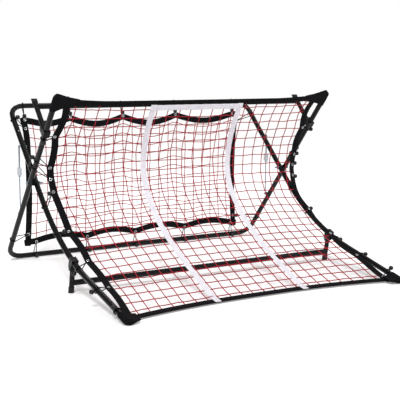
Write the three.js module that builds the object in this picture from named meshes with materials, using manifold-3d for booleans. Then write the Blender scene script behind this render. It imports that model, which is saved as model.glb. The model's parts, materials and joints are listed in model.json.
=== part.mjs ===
// Folding two-net rebounder, in millimetres, +Z up, front towards -Y.
//
// Two U-shaped tube frames cross like scissors on a pivot bolt at each side. The outer frame has its bar
// on the ground and its open end up at the front; the inner frame has its bar up at the rear and its open
// end down at the front. A curved net hangs across the front, a flat one across the rear. A stay at each
// side holds the frames open, and an H-shaped stand folds out under each of them.
import * as THREE from 'three';
import { mergeVertices } from 'three/addons/utils/BufferGeometryUtils.js';
import Module from 'manifold-3d';

const wasm = await Module();
wasm.setup();

// ---------------------------------------------------------------- driving dimensions
const TUBE_R = 12.5;            // frame tube, 25 mm outside
const TUBE_WALL = 1.5;
const FIT_GAP = 0.3;            // clearance between pieces that touch
const TUBE_BORE = TUBE_R - TUBE_WALL - FIT_GAP;  // radius of what slides into a tube
const OUTER_HALF = 708;         // half the width between the outer frame's arms
const INNER_HALF = 679;
const CORNER_R = 70;            // bend at the corners of both frames
const SPIGOT = 45;              // reduced end of each bar, pushed into its arm
const STUB = 150;               // from a frame's corner to the joint with its arm

const OUTER_LEAN = 50;          // degrees, rise of the outer arms towards the front
const OUTER_ARM = 1054;         // from the ground bar to the open end
const INNER_TOP_Y = 13.5;       // the inner frame's rear bar
const INNER_TOP_Z = 753;
const INNER_DROP = 42.8;        // degrees, fall of the inner arms behind the long bend
const INNER_UPPER = 874;        // from the rear bar to the knee, where both straights would meet
const INNER_FRONT_DROP = 12.4;  // degrees, fall ahead of the long bend
const INNER_LOWER = 664;        // from the knee to the open end
const KNEE_R = 1100;            // the long bend

const NET_HALF = 650;           // half the width of the front net, outside its webbing
const BACK_NET_TOP_HALF = 608;
const BACK_NET_BOTTOM_HALF = 634;
const BACK_NET_WAIST = 12;      // its untied sides bow inwards by this
const BACK_NET_TOP = 706;
const BACK_NET_BOTTOM = 66;
const BACK_NET_Y = -6;
const WEBBING = 27;             // width of the webbing sewn round both nets
const TAPE = 29;                // width of the white target tapes
const TAPE_X = 220;

const LEG_R = 11;               // stand legs, 22 mm tube
const LEG_WALL = 1.5;
const HINGE_DROP = 27;          // from an arm's axis to the hinge of its stand
const BAR_FROM_FOOT = 45;       // crossbar above the ground end of a stand
const SOLE = 3;                 // thickness of a foot cap under its leg
const CAP = 26;                 // height of a foot cap
const LOWER_STAND_Y = -772;     // where the lower stand hangs on the inner arms
const LOWER_FOOT_Y = -742;
const UPPER_STAND_AT = 855;     // along the outer arms
const UPPER_FOOT = [-412, 808];

const STAY_X = 700;             // lane of the stays, between the two frames' arms
const STAY_Y = -180;
const STAY_LUG = 20;            // stay pivot above the outer arm's axis
const STAY_ROD_R = 3;
const STAY_TUBE_R = 4;

const ROUND = 16;               // sides of a frame tube
const SMALL_ROUND = 10;
const CORNER_STEPS = 5;         // facets round a frame's corner
const KNEE_STEPS = 11;          // facets along the long bend
const LEFT = -1;
const RIGHT = 1;
const SIDES = [[LEFT, 'left'], [RIGHT, 'right']];

// ---------------------------------------------------------------- materials
const paint = new THREE.MeshStandardMaterial({ color: 0x1b1c1f, roughness: 0.35, metalness: 0.3 });
const plastic = new THREE.MeshStandardMaterial({ color: 0x17181a, roughness: 0.6 });
const greyPlastic = new THREE.MeshStandardMaterial({ color: 0xcdd2d6, roughness: 0.5 });
const zinc = new THREE.MeshStandardMaterial({ color: 0x9aa3ab, roughness: 0.35, metalness: 0.9 });
const webbing = new THREE.MeshStandardMaterial({ color: 0x151619, roughness: 0.9 });
const netting = new THREE.MeshStandardMaterial({ color: 0xa82a3a, roughness: 0.85 });
const tape = new THREE.MeshStandardMaterial({ color: 0xe4e4e8, roughness: 0.7 });

// ---------------------------------------------------------------- solids
const radians = THREE.MathUtils.degToRad;

/** A closed three.js geometry as a solid, turned inside out if its faces point inwards. */
function solid(geometry) {
  const bare = geometry.index ? geometry.toNonIndexed() : geometry.clone();
  for (const name of Object.keys(bare.attributes)) {
    if (name !== 'position') bare.deleteAttribute(name);
  }
  const merged = mergeVertices(bare, 1e-4);
  const p = merged.attributes.position.array;
  const corners = [];
  let volume = 0;
  for (let i = 0; i < merged.index.count; i += 3) {
    const [a, b, c] = [0, 1, 2].map((k) => merged.index.array[i + k]);
    if (a === b || b === c || a === c) continue;
    corners.push(a, b, c);
    const [u, v, w] = [a, b, c].map((k) => new THREE.Vector3().fromArray(p, 3 * k));
    volume += u.dot(v.cross(w));
  }
  if (volume < 0) corners.reverse();
  return new wasm.Manifold(new wasm.Mesh({
    numProp: 3, vertProperties: Float32Array.from(p), triVerts: Uint32Array.from(corners),
  }));
}

/** A solid as three.js geometry. */
function geometryOf(body) {
  const mesh = body.getMesh();
  const geometry = new THREE.BufferGeometry();
  geometry.setAttribute('position', new THREE.Float32BufferAttribute(mesh.vertProperties, 3));
  geometry.setIndex(Array.from(mesh.triVerts));
  return geometry;
}

/** A named piece. */
function piece(name, body, material) {
  const mesh = new THREE.Mesh(geometryOf(body), material);
  mesh.name = name;
  return mesh;
}

/** A solid of revolution of a closed profile of [radius, height] points, its axis from a towards b. */
function revolve(profile, a, b, sides = SMALL_ROUND) {
  const points = profile.map(([r, h]) => new THREE.Vector2(r, h));
  const geometry = new THREE.LatheGeometry(points, sides);
  const along = b.clone().sub(a).normalize();
  geometry.applyQuaternion(new THREE.Quaternion().setFromUnitVectors(new THREE.Vector3(0, 1, 0), along));
  geometry.translate(a.x, a.y, a.z);
  return solid(geometry);
}

/** A round bar from a to b. */
function bar(a, b, radius, sides = SMALL_ROUND) {
  const length = a.distanceTo(b);
  return revolve([[0, 0], [radius, 0], [radius, length], [0, length]], a, b, sides);
}

/** A straight tube from a to b. */
function tube(a, b, radius, wall, sides = ROUND) {
  const length = a.distanceTo(b);
  const inner = radius - wall;
  return revolve([[inner, 0], [radius, 0], [radius, length], [inner, length], [inner, 0]], a, b, sides);
}

/** A flat outline of [y, z] points, made a plate of that depth along X, centred at x. */
function plate(outline, x, depth) {
  const shape = new THREE.Shape(outline.map(([y, z]) => new THREE.Vector2(y, z)));
  const geometry = new THREE.ExtrudeGeometry(shape, { depth, bevelEnabled: false });
  geometry.translate(0, 0, -depth / 2);
  // shape x -> world y, shape y -> world z, extrusion -> world x
  geometry.applyMatrix4(new THREE.Matrix4().makeBasis(
    new THREE.Vector3(0, 1, 0), new THREE.Vector3(0, 0, 1), new THREE.Vector3(1, 0, 0)));
  geometry.translate(x, 0, 0);
  return solid(geometry);
}

/** A curve known by its stations: one for each end of a straight and a few along each bend. */
class Run extends THREE.Curve {
  constructor(stations) {
    super();
    this.stations = stations;
  }

  getPointAt(u) {
    return this.stations[Math.round(u * (this.stations.length - 1))].point.clone();
  }

  getTangentAt(u) {
    return this.stations[Math.round(u * (this.stations.length - 1))].along.clone();
  }
}

/** The run through straight legs joined by round bends at the inner corners. */
function bentRun(corners, radius, bendSteps) {
  const stations = [];
  const direction = (i) => corners[i + 1].clone().sub(corners[i]).normalize();
  stations.push({ point: corners[0], along: direction(0) });
  for (let i = 1; i < corners.length - 1; i += 1) {
    const before = direction(i - 1);
    const after = direction(i);
    const turn = before.angleTo(after);
    const start = corners[i].clone().addScaledVector(before, -radius * Math.tan(turn / 2));
    const towards = after.clone().addScaledVector(before, -before.dot(after)).normalize();
    const centre = start.clone().addScaledVector(towards, radius);
    for (let k = 0; k <= bendSteps; k += 1) {
      const t = turn * k / bendSteps;
      stations.push({
        point: centre.clone().addScaledVector(towards, -radius * Math.cos(t))
          .addScaledVector(before, radius * Math.sin(t)),
        along: before.clone().multiplyScalar(Math.cos(t)).addScaledVector(towards, Math.sin(t)),
      });
    }
  }
  const last = corners.length - 1;
  stations.push({ point: corners[last], along: direction(last - 1) });
  return new Run(stations);
}

/** A hollow tube along a run. */
function bentTube(run, radius, wall) {
  const ring = new THREE.Shape().absarc(0, 0, radius, 0, 2 * Math.PI);
  ring.holes.push(new THREE.Path().absarc(0, 0, radius - wall, 0, 2 * Math.PI, true));
  return solid(new THREE.ExtrudeGeometry(ring, {
    steps: run.stations.length - 1, extrudePath: run, curveSegments: ROUND / 2, bevelEnabled: false,
  }));
}

// ---------------------------------------------------------------- the side view
const side2 = (y, z) => new THREE.Vector2(y, z);
const at = (x, p) => new THREE.Vector3(x, p.x, p.y);
const heading = (degrees) => side2(Math.cos(radians(degrees)), Math.sin(radians(degrees)));

const OUTER_FOOT = side2(0, TUBE_R);
const OUTER_UP = heading(180 - OUTER_LEAN);
const OUTER_BACK = heading(90 - OUTER_LEAN);         // square to the arm, up and to the rear
const OUTER_TIP = OUTER_FOOT.clone().addScaledVector(OUTER_UP, OUTER_ARM);
const INNER_TOP = side2(INNER_TOP_Y, INNER_TOP_Z);
const INNER_DOWN = heading(180 + INNER_DROP);
const INNER_FRONT = heading(180 + INNER_FRONT_DROP);
const KNEE = INNER_TOP.clone().addScaledVector(INNER_DOWN, INNER_UPPER);
const INNER_TIP = KNEE.clone().addScaledVector(INNER_FRONT, INNER_LOWER);

/** Where the two arms cross in the side view. */
function crossing() {
  const apart = INNER_TOP.clone().sub(OUTER_FOOT);
  const run = apart.cross(INNER_DOWN) / OUTER_UP.cross(INNER_DOWN);
  return OUTER_FOOT.clone().addScaledVector(OUTER_UP, run);
}
const PIVOT = crossing();

/** The inner arm's axis ahead of the pivot: the point at a given y inside the long bend, and its heading. */
function bendPoint(y) {
  const half = radians(INNER_DROP - INNER_FRONT_DROP) / 2;
  const start = KNEE.clone().addScaledVector(INNER_DOWN, -KNEE_R * Math.tan(half));
  const centre = start.clone().addScaledVector(heading(90 + INNER_DROP), KNEE_R);
  const z = centre.y - Math.sqrt(KNEE_R ** 2 - (y - centre.x) ** 2);
  const fall = Math.asin((centre.x - y) / KNEE_R);
  return { point: side2(y, z), ahead: side2(-Math.cos(fall), Math.sin(fall)) };
}

// ---------------------------------------------------------------- frames
/** A bar with two bent corners, a stub on each and a reduced end on each stub. */
function cornerBar(name, half, corner, along) {
  const joint = corner.clone().addScaledVector(along, STUB);
  const route = [at(-half, joint), at(-half, corner), at(half, corner), at(half, joint)];
  let body = bentTube(bentRun(route, CORNER_R, CORNER_STEPS), TUBE_R, TUBE_WALL);
  for (const [side] of SIDES) {
    const on = (by) => at(side * half, joint.clone().addScaledVector(along, by));
    const collar = tube(on(-12), on(-1), TUBE_R - TUBE_WALL * 0.4, 2.4, SMALL_ROUND);
    body = body.add(tube(on(-11), on(SPIGOT), TUBE_BORE, TUBE_WALL, SMALL_ROUND).add(collar));
  }
  return piece(name, body, paint);
}

/** The drillings of an arm: holes across it, along X. */
function drilled(body, side, half, holes) {
  let rest = body;
  for (const [p, radius] of holes) {
    rest = rest.subtract(bar(at(side * half - 20, p), at(side * half + 20, p), radius));
  }
  return rest;
}

function outerArm(side, name) {
  const start = OUTER_FOOT.clone().addScaledVector(OUTER_UP, STUB + FIT_GAP);
  const body = tube(at(side * OUTER_HALF, start), at(side * OUTER_HALF, OUTER_TIP), TUBE_R, TUBE_WALL);
  return piece(`outer_frame_${name}_arm`, drilled(body, side, OUTER_HALF, [[PIVOT, 4.3]]), paint);
}

function innerArm(side, name) {
  const start = INNER_TOP.clone().addScaledVector(INNER_DOWN, STUB + FIT_GAP);
  const route = [start, KNEE, INNER_TIP].map((p) => at(side * INNER_HALF, p));
  const body = bentTube(bentRun(route, KNEE_R, KNEE_STEPS), TUBE_R, TUBE_WALL);
  const holes = [[PIVOT, 4.3], [STAY_STUD, 3.3]];
  return piece(`inner_frame_${name}_arm`, drilled(body, side, INNER_HALF, holes), paint);
}

/** A plug pushed into the open end of an arm. */
function endPlug(name, half, tip, along) {
  const depth = 22;
  const inside = tip.clone().addScaledVector(along, -depth);
  const flange = depth + FIT_GAP;
  const profile = [[0, 0], [TUBE_BORE, 0], [TUBE_BORE, flange], [TUBE_R, flange],
    [TUBE_R, flange + 2], [TUBE_R - 1.5, flange + 4], [0, flange + 4]];
  const outside = tip.clone().addScaledVector(along, 30);
  return piece(name, revolve(profile, at(half, inside), at(half, outside), ROUND), plastic);
}

// ---------------------------------------------------------------- pivots
const BOLT_R = 4;

/** The bolt that both frames turn on: its head outside the outer arm, its long tail inside the frame. */
function pivotPieces(side, name) {
  const outside = OUTER_HALF + TUBE_R + FIT_GAP;
  const x = (v) => at(side * v, PIVOT);
  const shank = bar(x(outside + 2), x(646), BOLT_R);
  const washer = bar(x(outside), x(outside + 1.6), 9, ROUND);
  const head = bar(x(outside + 1.5), x(outside + 7), 7.2, 6);
  const bore = bar(x(800), x(500), BOLT_R + FIT_GAP);
  const between = bar(x(OUTER_HALF - TUBE_R - FIT_GAP), x(INNER_HALF + TUBE_R + FIT_GAP), 12, ROUND);
  const inside = INNER_HALF - TUBE_R - FIT_GAP;
  const nut = bar(x(inside - 6.5), x(inside - 1.4), 7.2, 6).add(bar(x(inside - 1.5), x(inside), 9, ROUND))
    .add(bar(x(inside - 8.5), x(inside - 6.4), 5.8));
  return [
    piece(`pivot_${name}_bolt`, shank.add(washer).add(head), zinc),
    piece(`pivot_${name}_spacer`, between.subtract(bore), plastic),
    piece(`pivot_${name}_nut`, nut.subtract(bore), zinc),
  ];
}

// ---------------------------------------------------------------- stands
const EAR = 2;                   // thickness of the bracket's steel
const EAR_GAP = TUBE_R + 0.8;
const BRACKET_HALF = 18;

/** A saddle over an arm whose ears carry the stand's hinge bolt below it. */
function saddle(name, x, p, ahead, away, hinge) {
  const square = (a, n) => side2(p.x + ahead.x * a + away.x * n, p.y + ahead.y * a + away.y * n);
  const back = -(EAR_GAP + EAR);
  const outline = [square(-BRACKET_HALF, back), square(BRACKET_HALF, back)];
  const tabR = 13;
  const start = Math.atan2(ahead.y, ahead.x);
  const turn = Math.sign(ahead.x * away.y - ahead.y * away.x);
  for (let k = 0; k <= 8; k += 1) {
    const t = start + turn * Math.PI * k / 8;
    outline.push(side2(hinge.x + tabR * Math.cos(t), hinge.y + tabR * Math.sin(t)));
  }
  const points = outline.map((q) => [q.x, q.y]);
  const cover = [square(-BRACKET_HALF, back), square(BRACKET_HALF, back), square(BRACKET_HALF, back + EAR),
    square(-BRACKET_HALF, back + EAR)].map((q) => [q.x, q.y]);
  const ear = (way) => plate(points, x + way * (EAR_GAP + EAR / 2), EAR);
  const body = ear(-1).add(ear(1)).add(plate(cover, x, 2 * EAR_GAP + 0.02));
  return piece(name, body.subtract(bar(at(x - 30, hinge), at(x + 30, hinge), 3.3)), paint);
}

/** A hinge bolt through both ears of a saddle, its nut fused to it. */
function hingeBolt(name, x, hinge) {
  const out = EAR_GAP + EAR + FIT_GAP;
  const shank = bar(at(x - out - 3, hinge), at(x + out + 3, hinge), 3);
  const ends = [-1, 1].map((way) => bar(at(x + way * out, hinge), at(x + way * (out + 3), hinge), 5, 6));
  return piece(name, shank.add(ends[0]).add(ends[1]), zinc);
}

/** One stand: two legs on hinges, a crossbar between them and a cap on each foot. */
function stand(name, half, p, ahead, away, foot, footUp) {
  const hinge = p.clone().addScaledVector(away, HINGE_DROP);
  const down = foot.clone().sub(hinge).normalize();
  const top = hinge.clone().addScaledVector(down, -8);
  const lean = Math.abs(down.angleTo(footUp) - Math.PI);
  const end = foot.clone().addScaledVector(down, -(LEG_R * Math.sin(lean) + SOLE) / Math.cos(lean));
  const barAt = foot.clone().addScaledVector(down, -BAR_FROM_FOOT);
  const pieces = [];
  let crossbar = tube(at(-half, barAt), at(half, barAt), TUBE_R, TUBE_WALL);
  for (const [side, word] of SIDES) {
    const x = side * half;
    const leg = tube(at(x, top), at(x, end), LEG_R, LEG_WALL)
      .subtract(bar(at(x - 20, hinge), at(x + 20, hinge), 3.3));
    pieces.push(piece(`${name}_${word}_leg`, leg, paint));
    pieces.push(saddle(`${name}_${word}_bracket`, x, p, ahead, away, hinge));
    pieces.push(hingeBolt(`${name}_${word}_bolt`, x, hinge));

    const along = (from, by) => at(x, from.clone().addScaledVector(down, by));
    const cup = bar(along(foot, -CAP), along(foot, 12), LEG_R + 2, ROUND)
      .subtract(bar(along(foot, -CAP - 5), along(end, FIT_GAP), LEG_R + FIT_GAP, ROUND));
    const ground = new THREE.BoxGeometry(80, 80, 60);
    ground.rotateX(Math.atan2(footUp.y, footUp.x) - Math.PI / 2);
    ground.translate(x, foot.x - footUp.x * 30, foot.y - footUp.y * 30);
    pieces.push(piece(`${name}_${word}_foot`, cup.subtract(solid(ground)), plastic));

    const cope = bar(along(top, -60), along(foot, 60), LEG_R + FIT_GAP, ROUND);
    const outside = new THREE.BoxGeometry(half * 2, 80, 80);
    outside.translate(2 * x, barAt.x, barAt.y);
    crossbar = crossbar.subtract(cope).subtract(solid(outside));
  }
  pieces.push(piece(`${name}_crossbar`, crossbar, paint));
  return pieces;
}

// ---------------------------------------------------------------- stays
const STAY_STUD = INNER_TOP.clone().addScaledVector(INNER_DOWN, (INNER_TOP_Y - STAY_Y) / -INNER_DOWN.x);
const LUG_FOOT = OUTER_FOOT.clone()
  .addScaledVector(OUTER_UP, (STAY_Y - STAY_LUG * OUTER_BACK.x) / OUTER_UP.x);
const STAY_PIVOT = LUG_FOOT.clone().addScaledVector(OUTER_BACK, STAY_LUG);
const CLAMP_Z = 458;
const CLAMP_SIZE = [16, 26, 37];

/** The strut that keeps the frames open: a rod and a tube end to end, joined in a clamp. */
function stayPieces(side, name) {
  const x = side * STAY_X;
  const on = (z) => new THREE.Vector3(x, STAY_Y, z);
  const eye = (p, r) => bar(at(x - 2.5, p), at(x + 2.5, p), r, ROUND)
    .subtract(bar(at(x - 9, p), at(x + 9, p), 2.8));
  const rodTop = CLAMP_Z + 30;
  const lower = eye(STAY_PIVOT, 7).add(bar(on(STAY_PIVOT.y + 5), on(rodTop), STAY_ROD_R))
    .add(bar(on(CLAMP_Z - CLAMP_SIZE[2] / 2 - 7), on(CLAMP_Z - CLAMP_SIZE[2] / 2 - 1), 6.4, 6));
  const stayWall = STAY_TUBE_R - STAY_ROD_R - 0.2;
  const upper = tube(on(CLAMP_Z + 4), on(STAY_STUD.y - 8), STAY_TUBE_R, stayWall, SMALL_ROUND)
    .add(bar(on(rodTop + 4), on(STAY_STUD.y - 5), STAY_TUBE_R)).add(eye(STAY_STUD, 8));
  const [w, d, h] = CLAMP_SIZE;
  const chamfer = 2;
  const round = 4;
  const outline = new THREE.Shape();
  for (let quarter = 0; quarter < 4; quarter += 1) {
    const turn = quarter * Math.PI / 2;
    const cornerX = (w / 2 - round) * (quarter === 0 || quarter === 3 ? 1 : -1);
    const cornerY = (d / 2 - round) * (quarter < 2 ? 1 : -1);
    outline.absarc(cornerX, cornerY, round, turn, turn + Math.PI / 2);
  }
  const housing = new THREE.ExtrudeGeometry(outline, {
    depth: h - 2 * chamfer,
    bevelEnabled: true,
    bevelThickness: chamfer,
    bevelSize: chamfer,
    bevelOffset: -chamfer,
    bevelSegments: 1,
    curveSegments: 2,
  });
  housing.translate(x, STAY_Y, CLAMP_Z - h / 2 + chamfer);
  const clamp = solid(housing).subtract(bar(on(CLAMP_Z - 30), on(CLAMP_Z + 5), STAY_ROD_R + FIT_GAP))
    .subtract(bar(on(CLAMP_Z + 3.5), on(CLAMP_Z + 30), STAY_TUBE_R + FIT_GAP));

  const lugX = side * (STAY_X + 7.5);
  const rise = OUTER_BACK;
  const base = LUG_FOOT.clone().addScaledVector(rise, TUBE_R - 4);
  const corner = (a, n) => [base.x + OUTER_UP.x * a + rise.x * n, base.y + OUTER_UP.y * a + rise.y * n];
  const armSpace = bar(at(side * OUTER_HALF, OUTER_FOOT), at(side * OUTER_HALF, OUTER_TIP),
    TUBE_R + FIT_GAP, ROUND);
  const tab = plate([corner(-13, 0), corner(13, 0), corner(8, 17), corner(-8, 17)], lugX, 3)
    .subtract(bar(at(lugX - 9, STAY_PIVOT), at(lugX + 9, STAY_PIVOT), 2.8)).subtract(armSpace);
  const across = (v) => at(side * v, STAY_PIVOT);
  const bolt = bar(across(STAY_X - 5), across(STAY_X + 13), 2.5)
    .add(bar(across(STAY_X - 5.3), across(STAY_X - 3), 4.6, 6))
    .add(bar(across(STAY_X + 9.5), across(STAY_X + 13), 4.6, 6));
  const stud = bar(at(side * (INNER_HALF - 16), STAY_STUD), at(side * (STAY_X - 3), STAY_STUD), 3)
    .add(bar(at(side * (INNER_HALF - 16), STAY_STUD), at(side * (INNER_HALF - 12.8), STAY_STUD), 5));
  return [
    piece(`stay_${name}_rod`, lower, zinc),
    piece(`stay_${name}_tube`, upper, zinc),
    piece(`stay_${name}_clamp`, clamp, greyPlastic),
    piece(`stay_${name}_lug`, tab, paint),
    piece(`stay_${name}_bolt`, bolt, zinc),
    piece(`stay_${name}_stud`, stud, zinc),
  ];
}

// ---------------------------------------------------------------- nets
const spline = (points) => new THREE.CatmullRomCurve3(points.map(([y, z]) => new THREE.Vector3(0, y, z)));
/** The front net in the side view, from its top edge down and forward: at its sides and at its middle. */
const NET_SIDE = spline([[-668, 800], [-560, 668], [-492, 540], [-474, 440], [-540, 320], [-700, 212],
  [-900, 124], [-1090, 68], [-1262, 18]]);
const NET_MIDDLE = spline([[-648, 797], [-588, 690], [-545, 580], [-535, 480], [-572, 372], [-690, 250],
  [-850, 150], [-1020, 72], [-1192, 18]]);

/** The front net's surface: across from -1 to 1, down from 0 to 1. */
function frontNet(across, down) {
  const side = NET_SIDE.getPointAt(down);
  const middle = NET_MIDDLE.getPointAt(down);
  const point = middle.lerp(side, Math.abs(across) ** 2.4);
  point.x = across * NET_HALF;
  return point;
}

/** The back net's surface: pulled out to a peak at each of its five ties along the top and the bottom. */
function backNet(across, down) {
  const scallop = 13 * (1 - Math.cos(4 * Math.PI * across)) / 2;
  const top = BACK_NET_TOP - scallop * 1.6;
  const bottom = BACK_NET_BOTTOM + scallop;
  const half = THREE.MathUtils.lerp(BACK_NET_TOP_HALF, BACK_NET_BOTTOM_HALF, down)
    - BACK_NET_WAIST * Math.sin(Math.PI * down);
  return new THREE.Vector3(across * half, BACK_NET_Y, THREE.MathUtils.lerp(top, bottom, down));
}

/** The square direction to a surface at a place on it. */
function squareTo(surface, across, down) {
  const step = 1e-3;
  const a = THREE.MathUtils.clamp(across, step - 1, 1 - step);
  const d = THREE.MathUtils.clamp(down, step, 1 - step);
  const right = surface(a + step, d).sub(surface(a - step, d));
  const below = surface(a, d + step).sub(surface(a, d - step));
  return right.cross(below).normalize();
}

/** Evenly spaced values from first to last. */
const steps = (first, last, count) => Array.from({ length: count + 1 },
  (_, k) => THREE.MathUtils.lerp(first, last, k / count));

/** A closed sheet through the given stations of a surface, from one distance off it to another. */
function sheet(surface, acrosses, downs, inner, outer) {
  const corners = [];
  const columns = acrosses.length - 1;
  const rows = downs.length - 1;
  const grid = (i, j, off) => surface(acrosses[i], downs[j])
    .addScaledVector(squareTo(surface, acrosses[i], downs[j]), off);
  const quad = (...p) => corners.push(p[0], p[1], p[2], p[0], p[2], p[3]);
  for (let i = 0; i < columns; i += 1) {
    for (let j = 0; j < rows; j += 1) {
      quad(grid(i, j, outer), grid(i, j + 1, outer), grid(i + 1, j + 1, outer), grid(i + 1, j, outer));
      quad(grid(i, j, inner), grid(i + 1, j, inner), grid(i + 1, j + 1, inner), grid(i, j + 1, inner));
    }
    quad(grid(i, 0, inner), grid(i, 0, outer), grid(i + 1, 0, outer), grid(i + 1, 0, inner));
    quad(grid(i, rows, outer), grid(i, rows, inner), grid(i + 1, rows, inner), grid(i + 1, rows, outer));
  }
  for (let j = 0; j < rows; j += 1) {
    quad(grid(0, j, outer), grid(0, j, inner), grid(0, j + 1, inner), grid(0, j + 1, outer));
    quad(grid(columns, j, inner), grid(columns, j, outer), grid(columns, j + 1, outer),
      grid(columns, j + 1, inner));
  }
  return solid(new THREE.BufferGeometry().setFromPoints(corners));
}

/** The webbing sewn round a surface: one flat band that runs all the way round its edge. */
function border(surface, width, height, columns, rows, thickness) {
  const ring = [];
  for (let i = 0; i < columns; i += 1) ring.push([-1 + 2 * i / columns, 0]);
  for (let j = 0; j < rows; j += 1) ring.push([1, j / rows]);
  for (let i = 0; i < columns; i += 1) ring.push([1 - 2 * i / columns, 1]);
  for (let j = 0; j < rows; j += 1) ring.push([-1, 1 - j / rows]);
  const inset = (a, d) => [a * (1 - 2 * WEBBING / width), 0.5 + (d - 0.5) * (1 - 2 * WEBBING / height)];
  const section = ring.map(([a, d]) => {
    const [ai, di] = inset(a, d);
    const place = (u, v, off) => surface(u, v).addScaledVector(squareTo(surface, u, v), off);
    const half = thickness / 2;
    return [place(a, d, half), place(a, d, -half), place(ai, di, -half), place(ai, di, half)];
  });
  const corners = [];
  section.forEach((here, i) => {
    const next = section[(i + 1) % section.length];
    for (let k = 0; k < 4; k += 1) {
      const m = (k + 1) % 4;
      corners.push(here[k], here[m], next[m], here[k], next[m], next[k]);
    }
  });
  return solid(new THREE.BufferGeometry().setFromPoints(corners));
}

const NET_COLUMNS = 8;
const NET_ROWS = 14;
const BACK_COLUMNS = 16;
const BACK_ROWS = 4;
const FRONT_LENGTH = NET_SIDE.getLength();
const BACK_HEIGHT = BACK_NET_TOP - BACK_NET_BOTTOM;

function netPieces() {
  const inside = (width, extra) => 1 - 2 * (WEBBING + extra) / width;
  const clearOf = FIT_GAP + 0.3;
  const across = inside(2 * NET_HALF, clearOf);
  const edge = (WEBBING + clearOf) / FRONT_LENGTH;
  const backAcross = inside(2 * BACK_NET_TOP_HALF, clearOf);
  const backEdge = (WEBBING + clearOf) / BACK_HEIGHT;
  const centre = TAPE_X / NET_HALF;
  const halfTape = TAPE / 2 / NET_HALF;
  const downs = steps(edge, 1 - edge, NET_ROWS);
  const pieces = [
    piece('front_net', sheet(frontNet, steps(-across, across, NET_COLUMNS), downs, -0.5, 0.5), netting),
    piece('front_net_border', border(frontNet, 2 * NET_HALF, FRONT_LENGTH, NET_COLUMNS, NET_ROWS, 2.4),
      webbing),
    piece('back_net', sheet(backNet, steps(-backAcross, backAcross, BACK_COLUMNS),
      steps(backEdge, 1 - backEdge, BACK_ROWS), -0.5, 0.5), netting),
    piece('back_net_border', border(backNet, 2 * BACK_NET_TOP_HALF, BACK_HEIGHT, BACK_COLUMNS, BACK_ROWS,
      2.4), webbing),
  ];
  for (const [side, name] of SIDES) {
    const x = side * centre;
    const strip = sheet(frontNet, [x - halfTape, x + halfTape], [...downs, 1], 2.6, 3.4);
    pieces.push(piece(`target_tape_${name}`, strip, tape));
  }
  const top = [edge, edge + TAPE / FRONT_LENGTH];
  const reach = centre - halfTape - 0.001;
  pieces.push(piece('target_tape_top', sheet(frontNet, steps(-reach, reach, 8), top, 2.6, 3.4), tape));
  return pieces;
}

/** A sewn pocket that slips over the open end of an arm and reaches inwards to the net's corner. */
function pocket(name, side, half, tip, along, reach) {
  const x = side * half;
  const on = (by) => at(x, tip.clone().addScaledVector(along, by));
  const wall = 2.4;
  const sleeve = bar(on(-95), on(8), TUBE_R + FIT_GAP + wall, ROUND);
  const width = half - NET_HALF - 4;
  const outline = new THREE.Shape([new THREE.Vector2(0, 0), new THREE.Vector2(width, 0),
    new THREE.Vector2(width, -reach * 0.45), new THREE.Vector2(0, -reach)]);
  const flap = new THREE.ExtrudeGeometry(outline, { depth: 5, bevelEnabled: false });
  flap.translate(0, 2, -2.5);
  const inwards = new THREE.Vector3(-side, 0, 0);
  const lengthways = at(0, along);
  flap.applyMatrix4(new THREE.Matrix4().makeBasis(inwards, lengthways, inwards.clone().cross(lengthways)));
  flap.translate(x, tip.x, tip.y);
  const armSpace = bar(on(-300), on(4.6), TUBE_R + FIT_GAP, ROUND);
  return piece(name, sleeve.add(solid(flap)).subtract(armSpace), webbing);
}

// ---------------------------------------------------------------- the whole object
const object = new THREE.Group();

object.add(cornerBar('outer_frame_base_bar', OUTER_HALF, OUTER_FOOT, OUTER_UP));
object.add(cornerBar('inner_frame_top_bar', INNER_HALF, INNER_TOP, INNER_DOWN));
for (const [side, name] of SIDES) {
  object.add(outerArm(side, name));
  object.add(innerArm(side, name));
  object.add(endPlug(`outer_frame_${name}_plug`, side * OUTER_HALF, OUTER_TIP, OUTER_UP));
  object.add(endPlug(`inner_frame_${name}_plug`, side * INNER_HALF, INNER_TIP, INNER_FRONT));
  object.add(...pivotPieces(side, name));
  object.add(...stayPieces(side, name));
  object.add(pocket(`net_top_${name}_pocket`, side, OUTER_HALF, OUTER_TIP, OUTER_UP, 90));
  object.add(pocket(`net_bottom_${name}_pocket`, side, INNER_HALF, INNER_TIP, INNER_FRONT, 70));
}

const lower = bendPoint(LOWER_STAND_Y);
const lowerAway = side2(-lower.ahead.y, lower.ahead.x);
object.add(...stand('lower_stand', INNER_HALF, lower.point, lower.ahead, lowerAway,
  side2(LOWER_FOOT_Y, 0), side2(0, 1)));

const upperAt = OUTER_FOOT.clone().addScaledVector(OUTER_UP, UPPER_STAND_AT);
const upsideDown = OUTER_TIP.clone().sub(INNER_TOP).normalize();
object.add(...stand('upper_stand', OUTER_HALF, upperAt, OUTER_UP, OUTER_BACK,
  side2(...UPPER_FOOT), side2(-upsideDown.y, upsideDown.x)));

object.add(...netPieces());

// The origin is on the ground, under the middle of the whole object.
const extent = new THREE.Box3().setFromObject(object, true);
const middle = extent.getCenter(new THREE.Vector3());
object.position.set(-middle.x, -middle.y, -extent.min.z);

export default object;
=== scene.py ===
"""Looks for the folding two-net rebounder: two crossed tube frames, two cord nets, their webbing and ties.

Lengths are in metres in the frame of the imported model. Side-view points are (y, z) pairs measured from the
axis of the ground bar at floor level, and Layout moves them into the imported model's frame.
"""

from __future__ import annotations

import json
import logging
import math
from dataclasses import dataclass, field
from enum import Enum
from typing import Callable, Sequence

import bpy
import numpy as np
from mathutils import Matrix, Vector

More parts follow.
